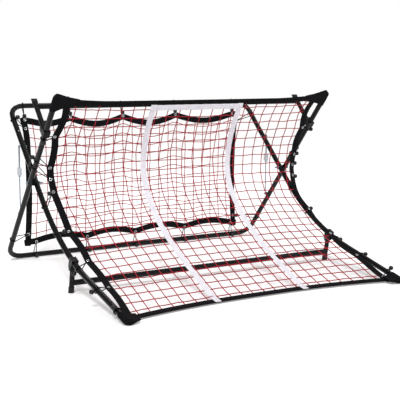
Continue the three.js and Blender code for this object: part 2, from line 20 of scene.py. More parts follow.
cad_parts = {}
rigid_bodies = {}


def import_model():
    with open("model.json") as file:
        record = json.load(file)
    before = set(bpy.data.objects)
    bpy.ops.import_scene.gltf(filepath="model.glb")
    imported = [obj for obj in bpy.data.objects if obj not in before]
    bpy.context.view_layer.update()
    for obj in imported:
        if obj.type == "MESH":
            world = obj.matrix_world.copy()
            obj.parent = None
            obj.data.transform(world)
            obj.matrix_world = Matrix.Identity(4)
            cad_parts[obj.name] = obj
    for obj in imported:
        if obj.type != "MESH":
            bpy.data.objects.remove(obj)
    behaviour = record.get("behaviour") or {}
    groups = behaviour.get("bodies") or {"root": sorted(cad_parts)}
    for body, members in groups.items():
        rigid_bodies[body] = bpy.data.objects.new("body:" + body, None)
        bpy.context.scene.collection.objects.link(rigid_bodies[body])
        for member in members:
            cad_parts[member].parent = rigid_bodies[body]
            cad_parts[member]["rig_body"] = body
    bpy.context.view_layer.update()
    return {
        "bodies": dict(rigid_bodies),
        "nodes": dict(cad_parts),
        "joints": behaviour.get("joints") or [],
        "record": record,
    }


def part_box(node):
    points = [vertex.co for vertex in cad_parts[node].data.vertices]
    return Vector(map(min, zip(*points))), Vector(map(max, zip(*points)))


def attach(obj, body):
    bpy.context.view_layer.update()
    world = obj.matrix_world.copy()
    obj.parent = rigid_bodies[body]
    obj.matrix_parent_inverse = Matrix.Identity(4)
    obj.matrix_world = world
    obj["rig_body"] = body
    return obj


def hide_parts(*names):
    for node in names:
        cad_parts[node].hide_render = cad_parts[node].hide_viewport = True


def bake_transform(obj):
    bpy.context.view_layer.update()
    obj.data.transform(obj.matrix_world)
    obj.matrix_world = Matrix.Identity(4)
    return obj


log = logging.getLogger("rebounder")
MM = 0.001
WAVE_TURN = 3.1416  # a wave texture of scale 1 has this many bands to a metre


class Body(str, Enum):
    """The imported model's bodies that new pieces ride on."""

    OUTER = "outer_frame"
    INNER = "inner_frame"


class Side(Enum):
    """Left and right of the object, seen from its front."""

    LEFT = -1
    RIGHT = 1

    @property
    def word(self) -> str:
        """The side's name in piece names."""
        return self.name.lower()


# ------------------------------------------------------------------ finishes


def linear(hex_colour: str) -> tuple[float, float, float, float]:
    """An sRGB hex colour as linear RGBA.

    Args:
        hex_colour: Six hex digits with a leading #.

    Returns:
        Red, green, blue and alpha from 0 to 1.
    """
    parts = [int(hex_colour[i : i + 2], 16) / 255 for i in (1, 3, 5)]
    curve = [p / 12.92 if p <= 0.04045 else ((p + 0.055) / 1.055) ** 2.4 for p in parts]
    return (*curve, 1.0)


def add_node(
    tree: bpy.types.NodeTree, kind: str, settings: dict | None = None, **links: bpy.types.NodeSocket
) -> bpy.types.Node:
    """Adds one node with its settings and links.

    Args:
        tree: The material's node tree.
        kind: The node's type name.
        settings: Properties by name, and input values by socket name or index.
        **links: Output sockets by the input that each feeds: its name with _ for a space, or i and its
            number.

    Returns:
        The new node.
    """
    node = tree.nodes.new(kind)
    for key, value in (settings or {}).items():
        if isinstance(key, str) and hasattr(node, key):
            setattr(node, key, value)
        else:
            node.inputs[key].default_value = value
    for key, source in links.items():
        name = int(key[1:]) if key[0] == "i" and key[1:].isdigit() else key.replace("_", " ")
        tree.links.new(source, node.inputs[name])
    return node


@dataclass(frozen=True)
class Finish:
    """A surface finish: what the material is, how its surface was made, and the sizes of its patterns.

    colour and shade are its two tones, in patches blotch_mm across, and roughness wanders by roughness_spread
    with them. grain_mm and grain_depth_mm are the pitch and height of its fine relief. slot names the record's
    material slot but is not used, and glow is the light that it gives off itself.
    """

    name: str
    colour: str
    shade: str
    roughness: float = 0.5
    roughness_spread: float = 0.1
    metallic: float = 0.0
    ior: float = 1.5
    coat: float = 0.0
    sheen: float = 0.0
    blotch_mm: float = 60.0
    grain_mm: float = 2.0
    grain_depth_mm: float = 0.05
    slot: str = ""
    glow: float = 0.0
    specular: float = 0.5

    def material(self) -> bpy.types.Material:
        """The finish as a Blender material, made once.

        Returns:
            The material.
        """
        found = bpy.data.materials.get(self.name)
        if found:
            return found
        made = bpy.data.materials.new(self.name)
        made.use_nodes = True
        made.diffuse_color = linear(self.colour)
        tree = made.node_tree
        bsdf = tree.nodes["Principled BSDF"]
        settings = {
            "Metallic": self.metallic,
            "IOR": self.ior,
            "Specular IOR Level": 0.5 if self.metallic else self.specular,
            "Coat Weight": self.coat,
            "Coat Roughness": 0.12,
            "Sheen Weight": self.sheen,
            "Sheen Roughness": 0.4,
            "Emission Color": linear("#ffffff"),
            "Emission Strength": self.glow,
        }
        for socket, value in settings.items():
            bsdf.inputs[socket].default_value = value
        self.surface(tree, bsdf)
        return made

    def place(self, tree: bpy.types.NodeTree) -> bpy.types.NodeSocket:
        """Object coordinates, in metres.

        Args:
            tree: The material's node tree.

        Returns:
            The coordinates' socket.
        """
        return add_node(tree, "ShaderNodeTexCoord").outputs["Object"]

    def grain(self, tree: bpy.types.NodeTree, place: bpy.types.NodeSocket) -> bpy.types.NodeSocket:
        """The fine relief of the surface, from 0 to 1.

        Args:
            tree: The material's node tree.
            place: The coordinates that it follows.

        Returns:
            The height's socket.
        """
        noise = {"Scale": 1 / (self.grain_mm * MM), "Detail": 2.0, "Roughness": 0.5}
        return add_node(tree, "ShaderNodeTexNoise", noise, Vector=place).outputs["Fac"]

    def surface(self, tree: bpy.types.NodeTree, bsdf: bpy.types.Node) -> None:
        """Colour and roughness that vary in soft patches, over a fine relief.

        Args:
            tree: The material's node tree.
            bsdf: Its principled shader.
        """
        place = self.place(tree)
        patches = {"Scale": 1 / (self.blotch_mm * MM), "Detail": 4.0, "Roughness": 0.6}
        patch = add_node(tree, "ShaderNodeTexNoise", patches, Vector=place).outputs["Fac"]
        low, high = self.roughness - self.roughness_spread / 2, self.roughness + self.roughness_spread / 2
        span = {"From Min": 0.3, "From Max": 0.7, "To Min": low, "To Max": high}
        rough = add_node(tree, "ShaderNodeMapRange", span, Value=patch).outputs["Result"]
        tree.links.new(rough, bsdf.inputs["Roughness"])
        spread = {"From Min": 0.3, "From Max": 0.7}
        mixed = add_node(tree, "ShaderNodeMapRange", spread, Value=patch).outputs["Result"]
        tones = {"data_type": "RGBA", 6: linear(self.colour), 7: linear(self.shade)}
        colour = add_node(tree, "ShaderNodeMix", tones, i0=mixed).outputs[2]
        tree.links.new(colour, bsdf.inputs["Base Color"])
        relief = self.grain(tree, place)
        depth = {"Strength": 0.6, "Distance": self.grain_depth_mm * MM}
        bump = add_node(tree, "ShaderNodeBump", depth, Height=relief)
        tree.links.new(bump.outputs["Normal"], bsdf.inputs["Normal"])


@dataclass(frozen=True)
class Woven(Finish):
    """A woven or braided textile, patterned along its own UV map, which is in metres across and along."""

    thread_mm: float = 2.0
    slant: float = 0.0

    def place(self, tree: bpy.types.NodeTree) -> bpy.types.NodeSocket:
        """The piece's own UV map, in metres, from its node tree."""
        return add_node(tree, "ShaderNodeUVMap", {"uv_map": "UVMap"}).outputs["UV"]

    def grain(self, tree: bpy.types.NodeTree, place: bpy.types.NodeSocket) -> bpy.types.NodeSocket:
        """Two crossed rows of threads, the higher of the two on top.

        Args:
            tree: The material's node tree.
            place: The coordinates that it follows.

        Returns:
            The height's socket.
        """
        heights = []
        for turn in (self.slant, self.slant + math.pi / 2):
            turned = {"vector_type": "POINT", "Rotation": (0.0, 0.0, turn)}
            along = add_node(tree, "ShaderNodeMapping", turned, Vector=place).outputs["Vector"]
            wave = {"Scale": 1 / (self.thread_mm * MM) / WAVE_TURN, "Distortion": 0.6, "Detail": 1.0}
            heights.append(add_node(tree, "ShaderNodeTexWave", wave, Vector=along).outputs["Fac"])
        top = add_node(tree, "ShaderNodeMath", {"operation": "MULTIPLY"}, i0=heights[0], i1=heights[1])
        return top.outputs["Value"]


# Steel tube, powder coated and baked: a slightly pebbled skin with long soft highlights.
GLOSS_BLACK = Finish(
    "powder_coated_steel_black", "#0a0a0c", "#101012", 0.2, 0.1,
    coat=0.15, specular=0.14, grain_mm=1.6, slot="black_paint",
)
# The same coating in its matt charcoal grade, used on the stands and brackets.
SATIN_BLACK = Finish(
    "powder_coated_steel_charcoal", "#0d0d0f", "#131315", 0.34, 0.16,
    specular=0.16, grain_mm=1.6, slot="black_paint",
)
# Cold drawn steel, zinc plated in a barrel: a cool grey metal with a small frosted spangle.
ZINC = Finish(
    "zinc_plated_steel", "#a9b3bc", "#8d98a2", 0.34, 0.2, metallic=1.0,
    blotch_mm=9, grain_mm=0.8, grain_depth_mm=0.02, slot="zinc_steel",
)
# Injection moulded polypropylene from a lightly etched tool: an even, dull sheen.
BLACK_PLASTIC = Finish(
    "moulded_polypropylene_black", "#0d0e10", "#141518", 0.5, 0.14,
    specular=0.3, blotch_mm=25, grain_mm=0.9, slot="black_plastic",
)
# The same plastic from a polished tool: each ball shows one clear highlight.
BALL_PLASTIC = Finish(
    "moulded_polypropylene_ball", "#0f1012", "#17181b", 0.34, 0.12,
    specular=0.35, blotch_mm=12, grain_mm=0.9, grain_depth_mm=0.03, slot="black_plastic",
)
# Moulded nylon, light grey right through, a little waxy.
GREY_PLASTIC = Finish(
    "moulded_nylon_grey", "#c9ced2", "#b7bdc3", 0.48, 0.12,
    blotch_mm=18, grain_mm=0.8, grain_depth_mm=0.04, slot="grey_plastic",
)
# Stamped brass, bright nickel plated: small and mirror-like, with rubbed patches.
NICKEL = Finish(
    "nickel_plated_brass", "#d4d5d7", "#b9bbbd", 0.22, 0.12, metallic=1.0,
    blotch_mm=5, grain_mm=0.6, grain_depth_mm=0.01, slot="zinc_steel",
)
# Braided polyethylene cord, dyed crimson: its slanting strands are drawn 1.5 mm wide, wider than the real
# 0.6 mm, so that they show.
NET_CORD = Woven(
    "braided_polyethylene_crimson", "#b01228", "#8a0e20", 0.6, 0.16,
    specular=0.25, blotch_mm=30, grain_depth_mm=0.35, thread_mm=1.5, slant=0.6, slot="net_cord",
)
# Flat woven polyester webbing: matt, with a fine square weave.
WEBBING = Woven(
    "woven_polyester_webbing_black", "#0b0b0d", "#131316", 0.84, 0.12,
    specular=0.08, blotch_mm=40, grain_depth_mm=0.3, thread_mm=1.6, slot="black_webbing",
)
# A lighter woven tape in white, closely woven and barely shiny.
WHITE_TAPE = Woven(
    "woven_polyester_tape_white", "#e8e5ec", "#dad7e0", 0.72, 0.1,
    sheen=0.15, blotch_mm=45, grain_depth_mm=0.2, thread_mm=1.3, slot="white_tape",
)
# Rubber cores in a braided polyester sleeve: a matt cord with slanting ridges.
ELASTIC = Woven(
    "braided_elastic_black", "#0e0f11", "#1a1b1e", 0.66, 0.12,
    specular=0.12, blotch_mm=12, grain_depth_mm=0.3, thread_mm=1.2, slant=0.78, slot="black_webbing",
)
# Bonded polyester sewing thread, a shade lighter than the webbing that it holds.
THREAD = Finish(
    "sewing_thread_black", "#1c1c20", "#131316", 0.7, 0.1,
    specular=0.12, blotch_mm=10, grain_mm=0.5, slot="black_webbing",
)
# Painted matt studio floor, almost white, lit a little from within so that shadows on it stay faint.
PALE_FLOOR = Finish(
    "matt_floor_pale", "#f6f6f6", "#f3f3f3", 0.9, 0.04,
    blotch_mm=900, grain_mm=40, grain_depth_mm=0.0, glow=0.22,
)


# ------------------------------------------------------------------ mesh making


def run_length(points: np.ndarray) -> np.ndarray:
    """How far along a path each of its points lies, from its first."""
    return np.r_[0, np.cumsum(np.linalg.norm(np.diff(points, axis=0), axis=1))]


def unit(vectors: np.ndarray) -> np.ndarray:
    """The same directions, each with a length of one."""
    return vectors / np.linalg.norm(vectors, axis=-1, keepdims=True)


def deselect() -> None:
    """Leaves nothing selected and nothing active."""
    bpy.ops.object.select_all(action="DESELECT")
    bpy.context.view_layer.objects.active = None


def activate(piece: bpy.types.Object) -> None:
    """Leaves one object selected and active, and nothing else.

    Args:
        piece: The object.
    """
    deselect()
    piece.select_set(True)
    bpy.context.view_layer.objects.active = piece


def finish_piece(piece: bpy.types.Object, finish: Finish, smooth: float = 40.0) -> bpy.types.Object:
    """Gives a piece its material, moves its place into its mesh and smooths its gentle edges.

    Args:
        piece: The mesh object.
        finish: What it is made of.
        smooth: Edges sharper than this many degrees stay sharp.

    Returns:
        The same object.
    """
    activate(piece)
    bpy.ops.object.transform_apply(location=True, rotation=True, scale=True)
    bpy.ops.object.shade_smooth_by_angle(angle=math.radians(smooth))
    piece.data.materials.clear()
    piece.data.materials.append(finish.material())
    deselect()
    return piece


@dataclass
class MeshMaker:
    """Gathers swept shapes into one mesh with a UV map in metres, around or across by along."""

    vertices: list[np.ndarray] = field(default_factory=list)
    faces: list[list[int]] = field(default_factory=list)
    uvs: list[tuple[float, float]] = field(default_factory=list)
    count: int = 0

    def sweep(self, sections: np.ndarray, widths: np.ndarray, mouth: bool = False) -> None:
        """Joins rings of points, one after the other, into a skin.

        Args:
            sections: Rings by ring, point and coordinate; each ring is closed on itself.
            widths: How far along its ring each point lies, with one more for the way back.
            mouth: Whether the first ring is left open.
        """
        rings, sides, _ = sections.shape
        base = self.count
        self.vertices.append(sections.reshape(-1, 3))
        self.count += rings * sides
        along = run_length(sections.mean(axis=1))
        for r in range(rings - 1):
            near, far = base + r * sides, base + (r + 1) * sides
            v0, v1 = along[r], along[r + 1]
            for k in range(sides):
                m = (k + 1) % sides
                self.faces.append([near + k, near + m, far + m, far + k])
                self.uvs += [(widths[k], v0), (widths[k + 1], v0), (widths[k + 1], v1), (widths[k], v1)]
        ends = [(0, range(sides - 1, -1, -1)), (rings - 1, range(sides))]
        for r, order in ends[1:] if mouth else ends:
            self.faces.append([base + r * sides + k for k in order])
            self.uvs += [(widths[k], along[r]) for k in order]

    def cord(self, path: np.ndarray, radius: float, sides: int = 6) -> None:
        """A round cord along a path.

        Args:
            path: The points of its centreline.
            radius: Its radius.
            sides: How many sides it has.
        """
        step = np.roll(path, -1, 0) - np.roll(path, 1, 0)
        step[0], step[-1] = path[1] - path[0], path[-1] - path[-2]
        tangent = step / np.maximum(np.linalg.norm(step, axis=1, keepdims=True), 1e-12)
        normal = np.zeros_like(tangent)
        start = np.cross(tangent[0], (0, 0, 1) if abs(tangent[0][2]) < 0.9 else (0, 1, 0))
        normal[0] = start / np.linalg.norm(start)
        for i in range(1, len(path)):
            turned = normal[i - 1] - tangent[i] * (normal[i - 1] @ tangent[i])
            normal[i] = turned / max(np.linalg.norm(turned), 1e-12)
        binormal = np.cross(tangent, normal)
        angle = 2 * np.pi * np.arange(sides) / sides
        wide, high = np.cos(angle)[None, :, None], np.sin(angle)[None, :, None]
        ring = normal[:, None] * wide + binormal[:, None] * high
        around = 2 * math.pi * radius * np.arange(sides + 1) / sides
        self.sweep(path[:, None] + ring * radius, around)

    def band(self, middle: np.ndarray, across: np.ndarray, width: float, thickness: float) -> None:
        """A flat band with rolled edges along a path.

        Args:
            middle: The points of its centreline.
            across: The unit direction across it at each point.
            width: Its width.
            thickness: Its thickness.
        """
        over = unit(np.cross(across, unit(np.gradient(middle, axis=0))))
        face = np.array([(-0.5, 0.0), (-0.47, 0.42), (-0.2, 0.5), (0.2, 0.5), (0.47, 0.42)])
        flat = np.vstack([face, -face]) * (width, thickness)
        ring = across[:, None] * flat[None, :, :1] + over[:, None] * flat[None, :, 1:]
        self.sweep(middle[:, None] + ring, run_length(np.vstack([flat, flat[:1]])))

    def bead(
        self, centre: np.ndarray, axes: np.ndarray, sizes: Sequence[float], rings: int = 3, sides: int = 6
    ) -> None:
        """A small closed ellipsoid.

        Args:
            centre: Its middle.
            axes: Three unit directions, the last from pole to pole.
            sizes: Its half sizes along them.
            rings: Bands from pole to pole.
            sides: Sides round it.
        """
        down = np.pi * (np.arange(rings) + 0.5) / rings
        turn = 2 * np.pi * np.arange(sides) / sides
        out, height = np.sin(down)[:, None], np.repeat(np.cos(down)[:, None], sides, 1)
        local = np.stack([out * np.cos(turn), out * np.sin(turn), height], -1)
        around = 2 * np.pi * sizes[0] * np.arange(sides + 1) / sides
        self.sweep(centre + (local * np.array(sizes)) @ axes, around)

    def piece(self, name: str, finish: Finish, smooth: float = 60.0) -> bpy.types.Object:
        """Makes the gathered shapes one object.

        Args:
            name: The piece's name.
            finish: What it is made of.
            smooth: Edges sharper than this many degrees stay sharp.

        Returns:
            The new object.
        """
        mesh = bpy.data.meshes.new(name)
        mesh.from_pydata(np.concatenate(self.vertices).tolist(), [], self.faces)
        layer = mesh.uv_layers.new(name="UVMap")
        layer.data.foreach_set("uv", np.array(self.uvs, np.float32).ravel())
        made = bpy.data.objects.new(name, mesh)
        bpy.context.scene.collection.objects.link(made)
        activate(made)
        bpy.ops.object.mode_set(mode="EDIT")
        bpy.ops.mesh.select_all(action="SELECT")
        bpy.ops.mesh.normals_make_consistent(inside=False)
        bpy.ops.object.mode_set(mode="OBJECT")
        return finish_piece(made, finish, smooth)


# ------------------------------------------------------------------ where things are


def smooth_line(points: Sequence[tuple[float, float]]) -> Callable[[np.ndarray], np.ndarray]:
    """The centripetal Catmull-Rom line through side-view points.

    Args:
        points: (y, z) in millimetres.

    Returns:
        A function from a share of the line's length to (y, z) in metres.
    """
    known = np.array(points, float)
    padded = np.vstack([2 * known[0] - known[1], known, 2 * known[-1] - known[-2]])
    drawn = []
    for p0, p1, p2, p3 in zip(padded, padded[1:], padded[2:], padded[3:]):
        d0, d1, d2 = (math.sqrt(np.linalg.norm(b - a)) for a, b in ((p0, p1), (p1, p2), (p2, p3)))
        t1 = ((p1 - p0) / d0 - (p2 - p0) / (d0 + d1) + (p2 - p1) / d1) * d1
        t2 = ((p2 - p1) / d1 - (p3 - p1) / (d1 + d2) + (p3 - p2) / d2) * d1
        t = np.linspace(0, 1, 40, endpoint=False)[:, None]
        drawn.append(p1 + t1 * t + (3 * (p2 - p1) - 2 * t1 - t2) * t**2 + (2 * (p1 - p2) + t1 + t2) * t**3)
    line = np.vstack([*drawn, known[-1:]]) * MM
    length = run_length(line)

    def at(share: np.ndarray) -> np.ndarray:
        """(y, z) at a share of the length."""
        along = np.asarray(share, float) * length[-1]
        return np.stack([np.interp(along, length, line[:, k]) for k in (0, 1)], -1)

    return at


@dataclass
class Layout:
    """The frame's own lines in the side view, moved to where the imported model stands.

    outer_lean is the rise of the outer arms in degrees; inner_drop and front_drop are the fall of the inner
    arms behind and ahead of their long bend. stub is where each bar ends in its arms.
    """

    tube: float = 12.5 * MM
    outer_half: float = 0.708
    inner_half: float = 0.679
    outer_lean: float = 50.0
    outer_arm: float = 1.054
    inner_top: tuple[float, float] = (0.0135, 0.753)
    inner_drop: float = 42.8
    inner_upper: float = 0.874
    front_drop: float = 12.4
    inner_lower: float = 0.664
    knee: float = 1.1
    stub: float = 0.15

    def __post_init__(self) -> None:
        """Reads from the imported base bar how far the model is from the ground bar's axis."""
        self.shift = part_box("outer_frame_base_bar")[1].y - self.tube

    def world(self, x: float | np.ndarray, side_view: np.ndarray) -> np.ndarray:
        """Side-view points at a distance across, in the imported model's frame.

        Args:
            x: How far across, one or one for each point.
            side_view: (y, z) points.

        Returns:
            Points as x, y, z.
        """
        side_view = np.asarray(side_view, float)
        across = np.broadcast_to(np.asarray(x, float), side_view.shape[:-1])
        return np.stack([across, side_view[..., 0] + self.shift, side_view[..., 1]], -1)

    def outer(self, along: float) -> tuple[np.ndarray, np.ndarray]:
        """A point of the outer arm's axis and its heading, in the side view.

        Args:
            along: The distance from the ground bar.

        Returns:
            The point and the unit heading towards the open end.
        """
        a = math.radians(180 - self.outer_lean)
        heading = np.array([math.cos(a), math.sin(a)])
        return np.array([0.0, self.tube]) + heading * along, heading

    def inner(self, along: float) -> tuple[np.ndarray, np.ndarray]:
        """A point of the inner arm's axis and its heading, in the side view.

        Args:
            along: The distance from the top bar, measured on the two straights that meet at the knee.

        Returns:
            The point and the unit heading towards the open end.
        """
        first, second = (math.radians(180 + d) for d in (self.inner_drop, self.front_drop))
        down = np.array([math.cos(first), math.sin(first)])
        front = np.array([math.cos(second), math.sin(second)])
        corner = np.array(self.inner_top) + down * self.inner_upper
        reach = self.knee * math.tan((first - second) / 2)
        over = along - self.inner_upper
        if over <= -reach:
            return np.array(self.inner_top) + down * along, down
        if over >= reach:
            return corner + front * over, front
        turn = (first - second) * (over + reach) / (2 * reach)
        towards = np.array([math.cos(first - math.pi / 2), math.sin(first - math.pi / 2)])
        start = corner - down * reach
        point = start + towards * self.knee * (1 - math.cos(turn)) + down * self.knee * math.sin(turn)
        return point, down * math.cos(turn) + towards * math.sin(turn)

    def on_arm(self, body: Body, side: Side, along: float) -> tuple[np.ndarray, np.ndarray]:
        """A point of an arm's axis and its heading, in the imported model's frame.

        Args:
            body: The frame that the arm belongs to.
            side: Which of its two arms.
            along: The distance from the frame's bar.

        Returns:
            The point and the unit heading towards the open end.
        """
        outer = body is Body.OUTER
        point, heading = self.outer(along) if outer else self.inner(along)
        half = self.outer_half if outer else self.inner_half
        return self.world(side.value * half, point), np.array([0.0, *heading])


# ------------------------------------------------------------------ nets


@dataclass
class Scallops:
    """The edge of a net, pulled out at its ties and slack between them."""

    ties: Sequence[float]
    depths: Sequence[float]

    def at(self, share: np.ndarray) -> np.ndarray:
        """How far the edge hangs back, at places along it.

        Args:
            share: Places on the same scale as the ties.

        Returns:
            The distances, in metres.
        """
        share = np.asarray(share, float)
        back = np.zeros_like(share)
        for a, b, depth in zip(self.ties, self.ties[1:], self.depths):
            inside = (share >= a) & (share <= b)
            back = np.where(inside, depth * MM * np.sin(np.pi * (share - a) / (b - a)), back)
        return back


@dataclass
class Net:
    """A cord net in its webbing, on a surface across from -1 to 1 and down from 0 to 1.

    The cords reach tuck deep under the webbing. unevenness is how far a crossing strays, bow is how far a bar
    of the mesh stands off the surface, and crowding is how far the rows are moved towards the top. joint is a
    crossing's half sizes, in cord radii.
    """

    name: str
    layout: Layout
    columns: int
    rows: int
    webbing: float = 31 * MM
    webbing_thick: float = 4.8 * MM
    side_thickening: float = 1.25
    eyelet_inset: float = 13 * MM
    cord_radius: float = 2.15 * MM
    joint: tuple[float, float, float] = (1.75, 1.75, 1.25)
    tuck: float = 9 * MM
    unevenness: float = 1.6 * MM
    bow: float = 1.1 * MM
    crowding: float = 0.018
    stations: int = 73
    seed: int = 3

    def surface(self, across: np.ndarray, down: np.ndarray) -> np.ndarray:
        """Points of the net at places across and down; each kind of net has its own."""
        raise NotImplementedError

    def point(self, across: float, down: float) -> np.ndarray:
        """One point of the net."""
        return self.surface(np.array([across]), np.array([down]))[0]

    def widths(self) -> tuple[float, float]:
        """Measures the net over its surface.

        Returns:
            Its size across its middle and down its side, in metres.
        """
        middle = self.surface(np.linspace(-1, 1, 60), np.full(60, 0.5))
        side = self.surface(np.full(60, 1.0), np.linspace(0, 1, 60))
        return float(run_length(middle)[-1]), float(run_length(side)[-1])

    def normals(self, across: np.ndarray, down: np.ndarray) -> np.ndarray:
        """The unit direction off the net towards its players, at each place.

        Args:
            across: Places across.
            down: Places down.

        Returns:
            One direction for each.
        """
        step = 2e-3
        a, d = np.clip(across, step - 1, 1 - step), np.clip(down, step, 1 - step)
        right = self.surface(a + step, d) - self.surface(a - step, d)
        below = self.surface(a, d + step) - self.surface(a, d - step)
        return unit(np.cross(below, right))

    def netting(self) -> bpy.types.Object:
        """The knotless net: cords down and across that join where they cross.

        Returns:
            The net.
        """
        size_across, size_down = self.widths()
        under = self.webbing - self.tuck
        edge_a, edge_d = 1 - 2 * under / size_across, under / size_down
        chance = np.random.default_rng(self.seed)
        open_a, open_d = 1 - 2 * self.webbing / size_across, 1 - 2 * self.webbing / size_down
        line_a = open_a * (np.arange(self.columns) - (self.columns - 1) / 2) / (self.columns / 2)
        line_d = (np.arange(self.rows) + 0.5) / self.rows
        line_d = 0.5 + open_d * (line_d - 0.5 - self.crowding * np.sin(np.pi * line_d))
        shift = chance.normal(0, self.unevenness, (2, self.rows, self.columns))
        across = np.broadcast_to(line_a, (self.rows, self.columns)) + shift[0] * 2 / size_across
        down = np.broadcast_to(line_d[:, None], (self.rows, self.columns)) + shift[1] / size_down
        across = np.clip(across, -edge_a, edge_a)
        down = np.clip(down, edge_d, 1 - edge_d)
        maker = MeshMaker()
        for i in range(self.columns):
            a = np.r_[across[0, i], across[:, i], across[-1, i]]
            d = np.r_[edge_d, down[:, i], 1 - edge_d]
            maker.cord(self.run(a, d, chance), self.cord_radius)
        for j in range(self.rows):
            a = np.r_[-edge_a, across[j], edge_a]
            d = np.r_[down[j, 0], down[j], down[j, -1]]
            maker.cord(self.run(a, d, chance), self.cord_radius)
        normals = self.normals(across, down).reshape(-1, 3)
        centres = self.surface(across, down).reshape(-1, 3)
        size = np.array(self.joint) * self.cord_radius
        for up, centre in zip(normals, centres):
            east = unit(np.cross(up, (0.0, 0.4, 1.0)))
            maker.bead(centre, np.array([east, np.cross(up, east), up]), size)
        return maker.piece(f"{self.name}_cords", NET_CORD)

    def run(self, across: np.ndarray, down: np.ndarray, chance: np.random.Generator) -> np.ndarray:
        """One cord's centreline through its crossings, with a slight bow in each bar of the mesh.

        Args:
            across: Where it crosses others, across.
            down: The same, down.
            chance: The source of the unevenness.

        Returns:
            The points of the cord.
        """
        known = self.surface(across, down)
        normal = self.normals(across, down)
        bow = chance.normal(0, self.bow, (len(known) - 1, 1)) * (normal[1:] + normal[:-1]) / 2
        path = np.empty((2 * len(known) - 1, 3))
        path[::2] = known
        middle = self.surface((across[1:] + across[:-1]) / 2, (down[1:] + down[:-1]) / 2)
        path[1::2] = middle + bow
        return path

    def edge(self, start: tuple[float, float], end: tuple[float, float]) -> tuple[np.ndarray, np.ndarray]:
        """Stations of one edge's webbing, along the middle of the band.

        Args:
            start: Across and down where the edge begins.
            end: The same where it ends.

        Returns:
            The points of the band's middle and the unit direction across it, outwards.
        """
        size_across, size_down = self.widths()
        share = np.linspace(0, 1, self.stations)
        a = start[0] + (end[0] - start[0]) * share
        d = start[1] + (end[1] - start[1]) * share
        inset_a = a * (1 - self.webbing / size_across * 2)
        inset_d = 0.5 + (d - 0.5) * (1 - self.webbing / size_down * 2)
        rim = self.surface(a, d)
        inner = self.surface(inset_a, d) if start[0] == end[0] else self.surface(a, inset_d)
        out = unit(rim - inner)
        step = unit(np.gradient(rim, axis=0))
        out = unit(out - step * (out * step).sum(1, keepdims=True))
        return rim - out * self.webbing / 2, out

    def binding(self) -> list[bpy.types.Object]:
        """The webbing folded over the net's edge, and its rows of stitches.

        Returns:
            The webbing and the stitches.
        """
        cloth, seam = MeshMaker(), MeshMaker()
        corners = (((-1, 0), (1, 0)), ((-1, 1), (1, 1)), ((-1, 0), (-1, 1)), ((1, 0), (1, 1)))
        for start, end in corners:
            middle, out = self.edge(start, end)
            thick = self.webbing_thick * (self.side_thickening if start[0] == end[0] else 1.0)
            cloth.band(middle, out, self.webbing, thick)
            for lane in (-0.4, 0.4):
                for face in (-1, 1):
                    self.stitches(seam, middle, out, lane * self.webbing, face * thick * 0.5)
        band = cloth.piece(f"{self.name}_webbing", WEBBING)
        sewn = seam.piece(f"{self.name}_stitches", THREAD)
        return [band, sewn]

    @staticmethod
    def stitches(maker: MeshMaker, middle: np.ndarray, out: np.ndarray, lane: float, rise: float) -> None:
        """A row of stitches along a band.

        Args:
            maker: Where they are gathered.
            middle: The points of the band's middle.
            out: The unit direction across the band.
            lane: How far out the row is.
            rise: How far off the band's middle its face is.
        """
        over = np.cross(out, unit(np.gradient(middle, axis=0)))
        line = middle + out * lane + over * rise
        length = run_length(line)
        pitch, long, thread = 7 * MM, 4.6 * MM, 0.5 * MM
        lift = math.copysign(0.35 * MM, rise) * np.array([[-0.6], [1], [-0.6]])
        for start in np.arange(6 * MM, length[-1] - 8 * MM, pitch):
            along = start + np.array([0, 0.5, 1]) * long
            points = np.stack([np.interp(along, length, line[:, k]) for k in range(3)], -1)
            up = np.stack([np.interp(along, length, over[:, k]) for k in range(3)], -1)
            maker.cord(points + up * lift, thread, 4)


